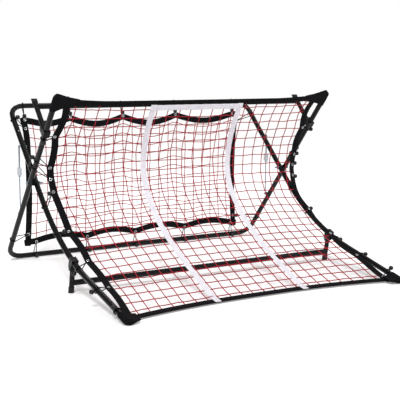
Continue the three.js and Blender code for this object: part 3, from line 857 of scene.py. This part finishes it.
@dataclass
class FrontNet(Net):
    """The curved net that the ball is played at, with its white target tapes.

    side_line and middle_line are (y, z) in millimetres down the net's edge and its middle, and bowl sets how
    the surface passes from one to the other. flare is how far past half the edge is pulled out at the top and
    at each eyelet, and slack is how far it falls back between them, in millimetres. lift raises the two top
    corners, which begin at corner_from across and end at corner_down down.
    """

    half: float = 0.650
    tape: float = 29 * MM
    tape_x: float = 0.220
    eyelets: Sequence[float] = (0.147, 0.264, 0.304, 0.346, 0.51, 0.665, 0.823, 0.968)
    flare: Sequence[float] = (0.030, 0.030, 0.029, 0.024, 0.018, 0.010, 0.003, 0.002, 0.006)
    slack: Sequence[float] = (22, 9, 0, 2, 10, 11, 8, 4, 0)
    side_line: Sequence[tuple[float, float]] = (
        (-672, 805), (-560, 668), (-492, 540), (-474, 440), (-540, 320),
        (-700, 212), (-900, 124), (-1090, 66), (-1214, 20), (-1264, 9),
    )
    middle_line: Sequence[tuple[float, float]] = (
        (-652, 803), (-588, 690), (-545, 580), (-535, 480), (-572, 372),
        (-690, 250), (-850, 150), (-1020, 70), (-1144, 19), (-1194, 8),
    )
    bowl: float = 2.4
    lift: float = 15 * MM
    corner_from: float = 0.6
    corner_down: float = 0.14

    def __post_init__(self) -> None:
        """Makes the net's two side-view lines and the slack of its edges."""
        self.side = smooth_line(self.side_line)
        self.middle = smooth_line(self.middle_line)
        self.scallops = Scallops((0.0, *self.eyelets, 1.0), self.slack)

    def surface(self, across: np.ndarray, down: np.ndarray) -> np.ndarray:
        """Points of the front net.

        Args:
            across: Places across, from -1 to 1.
            down: Places down, from 0 to 1.

        Returns:
            Points as x, y, z.
        """
        across, down = np.broadcast_arrays(np.asarray(across, float), np.asarray(down, float))
        share = (np.abs(across) ** self.bowl)[..., None]
        side_view = self.middle(down) * (1 - share) + self.side(down) * share
        wide = self.half + np.interp(down, (0.0, *self.eyelets), self.flare)
        outwards = np.clip((np.abs(across) - self.corner_from) / (1 - self.corner_from), 0, 1)
        corner = outwards**2 * np.clip(1 - down / self.corner_down, 0, 1)
        side_view = side_view + np.stack([0 * down, self.lift * corner], -1)
        x = across * (wide - np.abs(across) ** 3 * self.scallops.at(down))
        return self.layout.world(x, side_view)

    def tapes(self) -> list[bpy.types.Object]:
        """The two upright tapes and the one between them under the top edge.

        Returns:
            The three tapes.
        """
        _, size_down = self.widths()
        edge = self.webbing / size_down
        upright_off, top_off = 2.7 * MM, 3.4 * MM
        made = []
        for side in Side:
            maker = MeshMaker()
            a = np.full(140, side.value * self.tape_x / self.half)
            d = np.linspace(edge * 0.8, 1.0, 140)
            length = self.lay(maker, a, d, np.array([1.0, 0, 0]), upright_off)
            made.append(self.tape_piece(maker, f"target_tape_{side.word}", length))
        maker = MeshMaker()
        a = np.linspace(-1, 1, 60) * (self.tape_x + self.tape * 0.45) / self.half
        d = np.full(60, edge * 0.92 + self.tape / 2 / size_down)
        length = self.lay(maker, a, d, None, top_off)
        made.append(self.tape_piece(maker, "target_tape_top", length))
        return made

    def lay(
        self, maker: MeshMaker, a: np.ndarray, d: np.ndarray, across: np.ndarray | None, off: float
    ) -> float:
        """Lays one tape on the net, rippling a little over its cords.

        Args:
            maker: Where it is gathered.
            a: Its stations across.
            d: Its stations down.
            across: The direction across the tape, or None for down the net.
            off: How far in front of the net it lies.

        Returns:
            The tape's length.
        """
        normal = self.normals(a, d)
        middle = self.surface(a, d)
        mesh_pitch, ripple_height, cloth = 49 * MM, 0.5 * MM, 1.0 * MM
        ripple = ripple_height * np.sin(run_length(middle) / mesh_pitch * 2 * np.pi)
        middle = middle + normal * (off + ripple[:, None])
        step = unit(np.gradient(middle, axis=0))
        wide = np.cross(normal, step) if across is None else np.repeat(across[None], len(a), 0)
        wide = unit(wide - step * (wide * step).sum(1, keepdims=True))
        maker.band(middle, wide, self.tape, cloth)
        return float(run_length(middle)[-1])

    def tape_piece(self, maker: MeshMaker, node: str, length: float) -> bpy.types.Object:
        """One tape as a piece that stands for its solid.

        Args:
            maker: The gathered tape.
            node: The solid that it stands for.
            length: Its cut length; not used.

        Returns:
            The tape.
        """
        tape = maker.piece(f"{node}_cloth", WHITE_TAPE)
        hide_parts(node)
        return tape

    def eyelet_points(self) -> list[tuple[np.ndarray, np.ndarray, Side, float]]:
        """Where the eyelets are: the centre, the direction through it, its side and its share down.

        Returns:
            One entry for each eyelet.
        """
        found = []
        for side in Side:
            for share in self.eyelets:
                a = side.value * (1 - self.eyelet_inset / self.half)
                through = self.normals(np.array([a]), np.array([share]))[0]
                found.append((self.point(a, share), through, side, share))
        return found


@dataclass
class BackNet(Net):
    """The flat net behind, tied to the top bar and the ground bar.

    The peaks are where ties pull its long edges out, and the slacks are how far those edges fall back between
    them, in millimetres. Its corners begin at corner_from across; there the top droops and flares, and the
    bottom sinks.
    """

    top: float = 0.706
    bottom: float = 0.066
    plane: float = -0.006
    top_half: float = 0.618
    bottom_half: float = 0.620
    waist: float = 0.012
    top_peaks: Sequence[float] = (-0.965, -0.589, -0.126, 0.364, 0.93)
    bottom_peaks: Sequence[float] = (-0.905, -0.46, -0.015, 0.467, 0.944)
    top_slacks: Sequence[float] = (0, 26, 34, 36, 34, 0)
    bottom_slacks: Sequence[float] = (0, 20, 22, 23, 20, 0)
    corner_from: float = 0.86
    flare: float = 15 * MM
    flare_down: float = 0.2
    droop: float = 12 * MM
    sink: float = 6 * MM
    ripple: float = 3 * MM
    corner_eyelets: tuple[float, float] = (0.085, 0.91)

    def __post_init__(self) -> None:
        """Makes the slack of its two long edges."""
        self.top_slack = Scallops((-1.0, *self.top_peaks, 1.0), self.top_slacks)
        self.bottom_slack = Scallops((-1.0, *self.bottom_peaks, 1.0), self.bottom_slacks)

    def surface(self, across: np.ndarray, down: np.ndarray) -> np.ndarray:
        """Points of the back net.

        Args:
            across: Places across, from -1 to 1.
            down: Places down, from 0 to 1.

        Returns:
            Points as x, y, z.
        """
        across, down = np.broadcast_arrays(np.asarray(across, float), np.asarray(down, float))
        corner = np.clip((np.abs(across) - self.corner_from) / (1 - self.corner_from), 0, 1) ** 2
        top = self.top - self.top_slack.at(across) - self.droop * corner
        bottom = self.bottom + self.bottom_slack.at(across) - self.sink * corner
        half = self.top_half + (self.bottom_half - self.top_half) * down - self.waist * np.sin(np.pi * down)
        half = half + self.flare * np.clip(1 - down / self.flare_down, 0, 1) ** 2
        z = top + (bottom - top) * down
        ripple = self.ripple * np.sin(5.1 * across + 3.3 * down) * np.sin(np.pi * down)
        return self.layout.world(across * half, np.stack([self.plane + ripple, z], -1))

    def eyelet_points(self) -> list[tuple[np.ndarray, float, bool]]:
        """Where the ties hold the net: the centre, its place across, and whether it is at the top.

        Returns:
            One entry for each eyelet.
        """
        inset = self.eyelet_inset / (self.top - self.bottom)
        edges = ((inset, self.top_peaks), (1 - inset, self.bottom_peaks))
        return [(self.point(a, d), a, d < 0.5) for d, peaks in edges for a in peaks]

    def corner_eyelet(self, side: Side, low: bool) -> np.ndarray:
        """Where the eyelet near a corner is, on the upright edge.

        Args:
            side: Which edge.
            low: Whether it is near the bottom corner.

        Returns:
            Its centre.
        """
        across = side.value * (1 - self.webbing / 2 / self.top_half)
        return self.point(across, self.corner_eyelets[low])


# ------------------------------------------------------------------ pockets, ties and fittings


@dataclass(frozen=True)
class HoodCut:
    """How a hood is cut: its reach inwards from the arm, its rise there, and where it begins and ends.

    lows and highs are the hood's two ends along the arm from the arm's open end, at HOOD_PLACES.
    """

    reach: float
    seat: float
    lows: tuple[float, ...]
    highs: tuple[float, ...]


# Places across a hood, as shares of its reach inwards from the arm's axis.
HOOD_PLACES = (-0.12, 0.05, 0.22, 0.5, 1.0)
TOP_CUT = HoodCut(
    reach=0.118,
    seat=4 * MM,
    lows=(-0.066, -0.064, -0.054, -0.049, -0.046),
    highs=(0.010, 0.026, 0.014, 0.002, -0.013),
)
BOTTOM_CUT = HoodCut(
    reach=0.060,
    seat=0.0,
    lows=(-0.046, -0.044, -0.041, -0.039, -0.038),
    highs=(0.020, 0.030, 0.030, 0.024, 0.012),
)


@dataclass
class Pocket:
    """A hood of webbing cloth sewn to a corner of the front net and slipped over the end of an arm.

    loft is its outlines from mouth to peak: the share of the way, and the girth there as a share of the
    sleeve's radius.
    """

    layout: Layout
    side: Side
    top: bool
    wall: float = 1.4 * MM
    sleeve_gap: float = 2.6 * MM
    crease: float = 1.1 * MM
    off_floor: float = 1.2 * MM
    loft: Sequence[tuple[float, float]] = (
        (0.0, 1.04), (0.06, 1.0), (0.25, 1.0), (0.45, 1.0), (0.62, 1.0),
        (0.76, 1.0), (0.88, 1.0), (0.96, 0.75), (1.0, 0.3),
    )

    def build(self) -> bpy.types.Object:
        """Lofts the hood from its open mouth to its peak, with its two walls sewn together beside the arm.

        Returns:
            The hood.
        """
        body = Body.OUTER if self.top else Body.INNER
        end = self.layout.outer_arm if self.top else self.layout.inner_upper + self.layout.inner_lower
        tip, heading = self.layout.on_arm(body, self.side, end)
        skin = np.array([self.ring(tip, heading, share, girth) for share, girth in self.loft])
        skin[..., 2] = np.maximum(skin[..., 2], self.off_floor)
        middle = skin[len(self.loft) // 3]
        maker = MeshMaker()
        maker.sweep(skin, run_length(np.vstack([middle, middle[:1]])), mouth=True)
        word = "top" if self.top else "bottom"
        name = f"net_{word}_{self.side.word}"
        hood = maker.piece(f"{name}_hood", WEBBING)
        add_modifier(hood, "SOLIDIFY", thickness=self.wall, offset=-1.0)
        add_modifier(hood, "SUBSURF", levels=2, render_levels=2)
        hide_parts(f"{name}_pocket")
        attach(hood, body.value)
        return hood

    def ring(self, tip: np.ndarray, heading: np.ndarray, share: float, girth: float) -> np.ndarray:
        """One outline of the hood: round the arm, and flat from there to the seam on the inward side.

        Args:
            tip: The middle of the arm's open end.
            heading: The arm's unit heading.
            share: Where the outline is, from 0 at the mouth to 1 at the peak.
            girth: How wide it is round the arm, as a share of the sleeve's radius.

        Returns:
            Its points.
        """
        cut = TOP_CUT if self.top else BOTTOM_CUT
        inwards = np.array([-self.side.value, 0.0, 0.0])
        over = np.cross(inwards, heading) * self.side.value
        radius = (self.layout.tube + self.sleeve_gap) * girth
        turns = np.radians(np.linspace(72, 288, 11))
        outline = [(math.cos(t) * radius, math.sin(t) * radius) for t in turns]
        thick, seam = radius * 0.8, 3.0 * MM
        fade = (0.14, 0.34, 0.58, 0.8, 0.98)
        walls = [(thick + (cut.reach - thick) * f, -thick * (1 - f) ** 2.2 - seam) for f in fade]
        points = []
        for k, (x, y) in enumerate([*outline, *walls, *[(x, -y) for x, y in reversed(walls)]]):
            inward = x / cut.reach
            low, high = (np.interp(inward, HOOD_PLACES, ends) for ends in (cut.lows, cut.highs))
            crease = self.crease * math.sin(1.9 * k + 9.0 * share) * (1 - abs(2 * share - 1) ** 3)
            rise = y + crease * 0.8 + cut.seat * min(max(inward, 0.0), 1.0)
            step = over * rise + heading * (low + (high - low) * share)
            points.append(tip + inwards * (x + crease * 0.4) + step)
        return np.array(points)


def add_modifier(piece: bpy.types.Object, kind: str, **settings: object) -> bpy.types.Modifier:
    """Adds a modifier with its settings.

    Args:
        piece: The object.
        kind: The modifier's type.
        **settings: Its properties.

    Returns:
        The modifier.
    """
    made = piece.modifiers.new(kind.title(), kind)
    for name, value in settings.items():
        setattr(made, name, value)
    return made


def rounded(points: np.ndarray, times: int = 2) -> np.ndarray:
    """A path with its corners cut off, again and again, which keeps its two ends.

    Args:
        points: The path.
        times: How many times.

    Returns:
        The rounded path.
    """
    for _ in range(times):
        a, b = points[:-1], points[1:]
        cut = np.stack([a * 0.75 + b * 0.25, a * 0.25 + b * 0.75], 1).reshape(-1, 3)
        points = np.vstack([points[:1], cut[1:-1], points[-1:]])
    return points


@dataclass
class Tie:
    """An elastic loop round a tube, through an eyelet and back to its ball.

    The ball is on the tube, ball_turn degrees round it from the eyelet, or ball_off away from the eyelet if
    lean says which way. Both runs leave the tube at leaves degrees from the eyelet, and lie lap either side
    of the tie's middle.
    """

    tube_point: np.ndarray
    tube_along: np.ndarray
    eyelet: np.ndarray
    through: np.ndarray
    ball_turn: float = 180.0
    lean: tuple[float, float, float] | None = None
    tube: float = 12.5 * MM
    cord: float = 2.2 * MM
    ball: float = 10.6 * MM
    leaves: float = 78.0
    lap: float = 2.4 * MM
    ball_seat: float = 1.4 * MM
    ball_off: tuple[float, float] = (19 * MM, 5 * MM)

    def path(self) -> np.ndarray:
        """Lays the elastic from its ball, round the tube, through the eyelet and back.

        Returns:
            The points of its centreline.
        """
        along = unit(self.tube_along)
        gap = self.eyelet - self.tube_point
        out = unit(gap - along * (gap @ along))
        up = np.cross(along, out)
        if up @ self.through < 0:
            up, along = -up, -along
        radius = self.tube + self.cord + 0.2 * MM
        back = unit(-gap)

        def spot(angle: float, slide: float) -> np.ndarray:
            """A point round the tube, and a little way along it."""
            return self.tube_point + (out * math.cos(angle) + up * math.sin(angle)) * radius + along * slide

        turn, leaves = math.radians(self.ball_turn), math.radians(self.leaves)
        first = [spot(t, self.lap * (turn - t) / turn) for t in np.linspace(turn, leaves, 9)]
        second = [spot(t, -self.lap) for t in np.linspace(-leaves, turn - 2 * math.pi, 9)]
        # Each stop: back from the eyelet towards the tube, through it, and to the side, in millimetres.
        stops = ((15, 3.6, 1.8), (4, 3.0, 1.8), (0, 1.6, 0), (0, -1.6, 0), (4, -3.0, -1.8), (15, -3.6, -1.8))
        hole = [self.eyelet + (back * b + self.through * t + along * a) * MM for b, t, a in stops]
        if self.lean is not None:
            loop = [*reversed(first), *reversed(second)]
            ball = self.ball_centre()
            out_of, back_into = reversed(hole[:3]), reversed(hole[3:])
            return rounded(np.array([ball, *out_of, *loop, *back_into, ball]))
        return rounded(np.array([*first, *hole, *second]))

    def ball_centre(self) -> np.ndarray:
        """Places the ball: on the tube, or beside the eyelet where it leans one way.

        Returns:
            Its centre.
        """
        if self.lean is not None:
            away, off = self.ball_off
            towards = unit(unit(self.tube_point - self.eyelet) + np.array(self.lean))
            return self.eyelet + towards * away + self.through * off
        along = unit(self.tube_along)
        out = self.path()[0] - self.tube_point
        out = unit(out - along * (out @ along))
        centre = self.tube_point + out * (self.tube + 2 * self.cord + self.ball - self.ball_seat)
        return np.array([centre[0], centre[1], max(centre[2], self.ball)])


@dataclass
class TieSet:
    """Ties that ride on one body: their elastics, and their balls."""

    name: str
    body: Body
    ties: list[Tie] = field(default_factory=list)

    def build(self) -> list[bpy.types.Object]:
        """Makes the elastics one piece and the balls another.

        Returns:
            The two pieces.
        """
        maker = MeshMaker()
        for tie in self.ties:
            path = tie.path()
            path[:, 2] = np.maximum(path[:, 2], tie.cord)
            maker.cord(path, tie.cord, 6)
        cords = maker.piece(f"{self.name}_elastics", ELASTIC)
        places = [Matrix.Translation(Vector(tie.ball_centre())) for tie in self.ties]
        balls = join_copies(ball_model(self.ties[0].ball), places, f"{self.name}_balls")
        finish_piece(balls, BALL_PLASTIC)
        for made in (cords, balls):
            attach(made, self.body.value)
        return [cords, balls]


def ball_model(radius: float) -> bpy.types.Object:
    """A moulded ball with the parting line round it and the two lips of its cord hole.

    Args:
        radius: The ball's radius.

    Returns:
        The model, at the origin.
    """
    deselect()
    bpy.ops.mesh.primitive_uv_sphere_add(segments=20, ring_count=12, radius=radius)
    ball = bpy.context.active_object
    bpy.ops.object.mode_set(mode="EDIT")
    bpy.ops.mesh.select_all(action="DESELECT")
    bpy.ops.object.mode_set(mode="OBJECT")
    for face in ball.data.polygons:
        face.select = abs(face.center.z) > radius * 0.86
    bpy.ops.object.mode_set(mode="EDIT")
    bpy.ops.mesh.inset(thickness=radius * 0.08, depth=-radius * 0.06)
    bpy.ops.object.mode_set(mode="OBJECT")
    return ball


def eyelet_model(radius: float) -> bpy.types.Object:
    """A brass eyelet: a rolled ring on each face of the webbing and the barrel between them.

    Args:
        radius: Its outer radius.

    Returns:
        The model, at the origin, its hole along Z.
    """
    deselect()
    bpy.ops.mesh.primitive_torus_add(
        major_segments=24, minor_segments=8, major_radius=radius * 0.68, minor_radius=radius * 0.32
    )
    ring = bpy.context.active_object
    bpy.ops.object.mode_set(mode="EDIT")
    bpy.ops.mesh.select_all(action="SELECT")
    bpy.ops.transform.resize(value=(1, 1, 1.6))
    bpy.ops.object.mode_set(mode="OBJECT")
    return ring


def join_copies(model: bpy.types.Object, places: Sequence[Matrix], name: str) -> bpy.types.Object:
    """Copies of a model joined into one object; the model itself is removed.

    Args:
        model: What is copied.
        places: Where each copy stands.
        name: The joined object's name.

    Returns:
        The joined object.
    """
    copies = []
    for place in places:
        copy = model.copy()
        copy.data = model.data.copy()
        copy.data.transform(place)
        bpy.context.scene.collection.objects.link(copy)
        copies.append(copy)
    deselect()
    for copy in copies:
        copy.select_set(True)
    bpy.context.view_layer.objects.active = copies[0]
    if len(copies) > 1:
        bpy.ops.object.join()
    copies[0].name = name
    copies[0].data.name = name
    bpy.data.objects.remove(model)
    deselect()
    return copies[0]


def facing(centre: Sequence[float], through: Sequence[float]) -> Matrix:
    """The place of a model whose own Z points along a direction.

    Args:
        centre: Where it stands.
        through: The direction.

    Returns:
        Its matrix.
    """
    return Matrix.Translation(Vector(centre)) @ Vector(through).to_track_quat("Z", "Y").to_matrix().to_4x4()


@dataclass
class Hardware:
    """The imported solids, each in its finish as a smoothed copy, and the buttons that lock the arms.

    finishes are by a word of the solid's name, and soft are the parts of names of solids that cloth replaces.
    """

    frame: dict
    finishes: dict[str, Finish] = field(
        default_factory=lambda: {
            "stand": SATIN_BLACK,
            "foot": BLACK_PLASTIC,
            "plug": BLACK_PLASTIC,
            "spacer": BLACK_PLASTIC,
            "clamp": GREY_PLASTIC,
            "rod": ZINC,
            "tube": ZINC,
            "bolt": ZINC,
            "nut": ZINC,
            "stud": ZINC,
            "bracket": SATIN_BLACK,
            "lug": GLOSS_BLACK,
            "crossbar": SATIN_BLACK,
            "leg": SATIN_BLACK,
            "arm": GLOSS_BLACK,
            "bar": GLOSS_BLACK,
        }
    )
    soft: tuple[str, ...] = ("front_net", "back_net", "target_tape", "_pocket")
    button: float = 4.2 * MM
    button_sunk: float = 1 * MM
    button_past: float = 24 * MM

    def finish_of(self, node: str) -> Finish:
        """Picks the finish of a solid by the last word of its name that has one.

        Args:
            node: The solid's name.

        Returns:
            The finish.
        """
        for word in reversed(node.split("_")):
            if word in self.finishes:
                return self.finishes[word]
        return GLOSS_BLACK

    def dress(self) -> None:
        """Replaces each hard solid by a smoothed copy in its finish."""
        for node, solid in self.frame["nodes"].items():
            if any(part in node for part in self.soft):
                solid.data.materials.clear()
                solid.data.materials.append(WEBBING.material())
                continue
            body = solid["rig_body"]
            skin = solid.copy()
            skin.data = solid.data.copy()
            skin.parent = None
            for key in [k for k in skin.keys() if k.startswith("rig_")]:
                del skin[key]
            skin.name = f"{node}_finish"
            bpy.context.scene.collection.objects.link(skin)
            activate(skin)
            bpy.ops.object.mode_set(mode="EDIT")
            bpy.ops.mesh.select_all(action="SELECT")
            bpy.ops.mesh.remove_doubles(threshold=2e-6)
            bpy.ops.object.mode_set(mode="OBJECT")
            if skin.data.has_custom_normals:
                bpy.ops.mesh.customdata_custom_splitnormals_clear()
            finish_piece(skin, self.finish_of(node), 38)
            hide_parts(node)
            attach(skin, body)

    def buttons(self, layout: Layout) -> list[bpy.types.Object]:
        """The sprung buttons that lock each arm on the reduced end of its bar.

        Args:
            layout: Where the arms are.

        Returns:
            The buttons of each frame.
        """
        made = []
        for body in Body:
            places = []
            for side in Side:
                axis, heading = layout.on_arm(body, side, layout.stub + self.button_past)
                outwards = np.array([side.value, 0.0, 0.0])
                through = outwards if body is Body.OUTER else np.array([0.0, heading[2], -heading[1]])
                places.append(facing(axis + through * (layout.tube - self.button_sunk), through))
            deselect()
            bpy.ops.mesh.primitive_uv_sphere_add(segments=16, ring_count=10, radius=self.button)
            button = bpy.context.active_object
            bpy.ops.transform.resize(value=(1, 1, 0.75))
            bpy.ops.object.transform_apply(scale=True)
            piece = finish_piece(join_copies(button, places, f"{body.value}_buttons"), ZINC)
            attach(piece, body.value)
            made.append(piece)
        return made


@dataclass
class Studio:
    """A pale floor, soft light and the camera.

    The camera's place is in metres, its turns are in radians, and focal and sensor are in millimetres. sky is
    how strongly the surroundings light the object, and backdrop how bright they look to the camera.
    """

    eye: tuple[float, float, float] = (-2.124, -3.641, 0.998)
    yaw: float = 0.532
    pitch: float = -0.156
    roll: float = 0.009
    focal: float = 82.08
    sensor: float = 36.0
    sky: float = 0.24
    backdrop: float = 1.0

    def camera(self) -> None:
        """Makes the camera at the viewing angle."""
        flat = math.cos(self.pitch)
        ahead = Vector((math.sin(self.yaw) * flat, math.cos(self.yaw) * flat, math.sin(self.pitch)))
        level = Vector((math.cos(self.yaw), -math.sin(self.yaw), 0))
        above = level.cross(ahead)
        right = level * math.cos(self.roll) + above * math.sin(self.roll)
        up = above * math.cos(self.roll) - level * math.sin(self.roll)
        turn = Matrix((right, up, -ahead)).transposed().to_4x4()
        data = bpy.data.cameras.new("view")
        data.lens, data.sensor_width, data.clip_start, data.clip_end = self.focal, self.sensor, 0.05, 100
        camera = bpy.data.objects.new("view", data)
        bpy.context.scene.collection.objects.link(camera)
        camera.matrix_world = Matrix.Translation(Vector(self.eye)) @ turn
        bpy.context.scene.camera = camera

    def light(self, name: str, place: Sequence[float], aim: Sequence[float], size: float, power: float) -> None:
        """Hangs one soft light.

        Args:
            name: Its name.
            place: Where it hangs.
            aim: The point that it faces.
            size: The side of its square.
            power: Its power in watts.
        """
        data = bpy.data.lights.new(name, "AREA")
        data.shape, data.size, data.energy = "SQUARE", size, power
        lamp = bpy.data.objects.new(name, data)
        bpy.context.scene.collection.objects.link(lamp)
        lamp.matrix_world = facing(place, np.array(place) - np.array(aim))

    @staticmethod
    def sun(name: str, towards: Sequence[float], strength: float, spread: float) -> None:
        """Adds one wide, far light that reaches the whole floor evenly.

        Args:
            name: Its name.
            towards: The direction from the object to it.
            strength: Its strength in watts a square metre.
            spread: How wide it is, in degrees.
        """
        data = bpy.data.lights.new(name, "SUN")
        data.energy, data.angle = strength, math.radians(spread)
        lamp = bpy.data.objects.new(name, data)
        bpy.context.scene.collection.objects.link(lamp)
        lamp.matrix_world = facing((0, 0, 0), towards)

    def build(self) -> None:
        """Sets up the floor, the world and the lights."""
        deselect()
        bpy.ops.mesh.primitive_plane_add(size=60, location=(0, 0, -0.0005))
        floor = bpy.context.active_object
        floor.name = "floor"
        finish_piece(floor, PALE_FLOOR)
        world = bpy.data.worlds.new("studio")
        bpy.context.scene.world = world
        world.use_nodes = True
        tree = world.node_tree
        sky = tree.nodes["Background"]
        sky.inputs["Color"].default_value = linear("#ffffff")
        seen = add_node(tree, "ShaderNodeLightPath").outputs["Is Camera Ray"]
        span = {"To Min": self.sky, "To Max": self.backdrop}
        strength = add_node(tree, "ShaderNodeMapRange", span, Value=seen).outputs["Result"]
        tree.links.new(strength, sky.inputs["Strength"])
        self.sun("daylight_key", (-1.2, -1.5, 2.6), 1.3, 10)
        self.sun("daylight_fill", (1.2, -0.9, 2.6), 1.15, 120)
        self.light("key", (-2.6, -2.4, 3.6), (0, 0, 0.3), 1.2, 40)
        self.light("fill", (3.2, -2.2, 2.4), (0, 0, 0.3), 1.2, 20)
        self.light("rim", (0.5, 3.4, 3.0), (0, 0, 0.3), 1.4, 30)
        bpy.context.scene.view_settings.view_transform = "Standard"
        self.camera()


# ------------------------------------------------------------------ the whole object


@dataclass
class Rebounder:
    """Builds and places every piece round the loaded frame.

    tie_places is where each side eyelet's tie holds its arm, by the eyelet's share down the front net: the
    arm's frame and the distance along it. corner_ties is the same for the back net's top and bottom corners.
    The two bends are side-view lines, one for each net, which are moved into the imported model's frame but
    not used further.
    """

    frame: dict
    layout: Layout = field(default_factory=Layout)
    eyelet: float = 8.2 * MM
    tie_places: dict[float, tuple[Body, float]] = field(
        default_factory=lambda: {
            0.147: (Body.OUTER, 0.818),
            0.264: (Body.OUTER, 0.686),
            0.304: (Body.OUTER, 0.640),
            0.346: (Body.INNER, 0.629),
            0.51: (Body.INNER, 0.810),
            0.665: (Body.INNER, 1.079),
            0.823: (Body.INNER, 1.274),
            0.968: (Body.INNER, 1.462),
        }
    )
    corner_ties: tuple[tuple[Body, float], ...] = ((Body.INNER, 0.095), (Body.OUTER, 0.135))
    front_bend: tuple[tuple[float, float], ...] = ((-0.53, 0.60), (-0.56, 0.25))
    back_bend: tuple[tuple[float, float], ...] = ((-0.006, 0.12), (-0.006, 0.66))

    def __post_init__(self) -> None:
        """Lays out the two nets and the four groups of ties."""
        self.front = FrontNet("front_net", self.layout, columns=22, rows=25)
        self.back = BackNet("back_net", self.layout, columns=22, rows=12, seed=8)
        self.sides = {
            Body.OUTER: TieSet("outer_side_ties", Body.OUTER),
            Body.INNER: TieSet("inner_side_ties", Body.INNER),
        }
        self.bars = {
            Body.INNER: TieSet("top_bar_ties", Body.INNER),
            Body.OUTER: TieSet("ground_bar_ties", Body.OUTER),
        }

    def nets(self) -> None:
        """Makes both nets with all that is sewn to them."""
        front = [self.front.netting(), *self.front.binding(), *self.front.tapes()]
        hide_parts("front_net")
        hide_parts("front_net_border")
        front.append(self.eyelets("front_net", [(c, t) for c, t, _, _ in self.front.eyelet_points()]))
        back = [self.back.netting(), *self.back.binding()]
        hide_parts("back_net")
        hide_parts("back_net_border")
        places = [eye for eye, _, _ in self.back.eyelet_points()]
        places += [self.back.corner_eyelet(side, low) for side in Side for low in (False, True)]
        back.append(self.eyelets("back_net", [(eye, np.array([0, -1.0, 0])) for eye in places]))
        high, low = self.layout.world(0.0, np.array(self.front_bend))
        for piece in front:
            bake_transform(piece)
        foot, head = self.layout.world(0.0, np.array(self.back_bend))
        for piece in back:
            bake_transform(piece)
        for piece in front + back:
            log.info("net piece %s", piece.name)

    def eyelets(self, name: str, places: Sequence[tuple[np.ndarray, np.ndarray]]) -> bpy.types.Object:
        """Makes the eyelets of one net.

        Args:
            name: The net's name.
            places: The centre of each and the direction through it.

        Returns:
            The eyelets as one piece.
        """
        rings = join_copies(eyelet_model(self.eyelet), [facing(c, t) for c, t in places], f"{name}_eyelets")
        return finish_piece(rings, NICKEL)

    def tie_to_arm(self, body: Body, side: Side, along: float, eye: np.ndarray, through: np.ndarray) -> Tie:
        """A tie from an eyelet to an arm.

        Args:
            body: The frame that the arm belongs to.
            side: Which of its two arms.
            along: The distance along the arm.
            eye: The eyelet's centre.
            through: The direction through the eyelet.

        Returns:
            The tie.
        """
        point, heading = self.layout.on_arm(body, side, along)
        return Tie(point, heading, eye, through)

    def side_ties(self) -> None:
        """Ties the front net's two sides to the arms, with balls that hang at the eyelets half way down."""
        usual_turn, left_turn, first_left_turn, sway = 150, 174, 95, 7
        for number, (eye, through, side, share) in enumerate(self.front.eyelet_points()):
            body, along = self.tie_places[share]
            tie = self.tie_to_arm(body, side, along, eye, through)
            left = side is Side.LEFT
            turn = (left_turn if left and share < 0.9 else usual_turn) + sway * math.sin(2.7 * number)
            tie.ball_turn = first_left_turn if left and share < 0.2 else turn
            if (0.33 if left else 0.2) < share < 0.6:
                tie.lean = (1.3 * side.value, 0.0, 0.0)
            self.sides[body].ties.append(tie)

    def bar_ties(self) -> None:
        """Ties the back net to the top bar and the ground bar, and its four corners to the arms."""
        front = np.array([0.0, -1.0, 0.0])
        top_turn, ground_turn, corner_turn, sway = 165, 96, 100, 6 * MM
        for eye, across, is_top in self.back.eyelet_points():
            side_view = np.array(self.layout.inner_top if is_top else (0.0, self.layout.tube))
            point = self.layout.world(eye[0] + sway * math.sin(9 * across), side_view)
            tie = Tie(point, np.array([1.0, 0.0, 0.0]), eye, front, top_turn if is_top else ground_turn)
            tie.lean = (0.0, 0.0, 0.0) if is_top else None
            self.bars[Body.INNER if is_top else Body.OUTER].ties.append(tie)
        for side in Side:
            for low, (body, along) in enumerate(self.corner_ties):
                tie = self.tie_to_arm(body, side, along, self.back.corner_eyelet(side, bool(low)), front)
                tie.ball_turn = corner_turn
                tie.lean = (0.0, 0.0, 0.0) if low else None
                self.bars[body].ties.append(tie)

    def ties(self) -> None:
        """Makes the elastic ties of both nets."""
        self.side_ties()
        self.bar_ties()
        for group in (*self.sides.values(), *self.bars.values()):
            for piece in group.build():
                log.info("ties %s", piece.name)

    def build(self) -> None:
        """Builds the object, piece by piece."""
        hardware = Hardware(self.frame)
        hardware.dress()
        for piece in hardware.buttons(self.layout):
            log.info("buttons %s", piece.name)
        self.nets()
        self.ties()
        for side in Side:
            for top in (True, False):
                log.info("hood %s", Pocket(self.layout, side, top).build().name)


def main() -> None:
    """Loads the frame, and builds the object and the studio."""
    logging.basicConfig(level=logging.INFO, format="%(name)s: %(message)s")
    for leftover in list(bpy.data.objects):
        bpy.data.objects.remove(leftover)
    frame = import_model()
    Rebounder(frame).build()
    Studio().build()


if __name__ == "__main__":
    main()
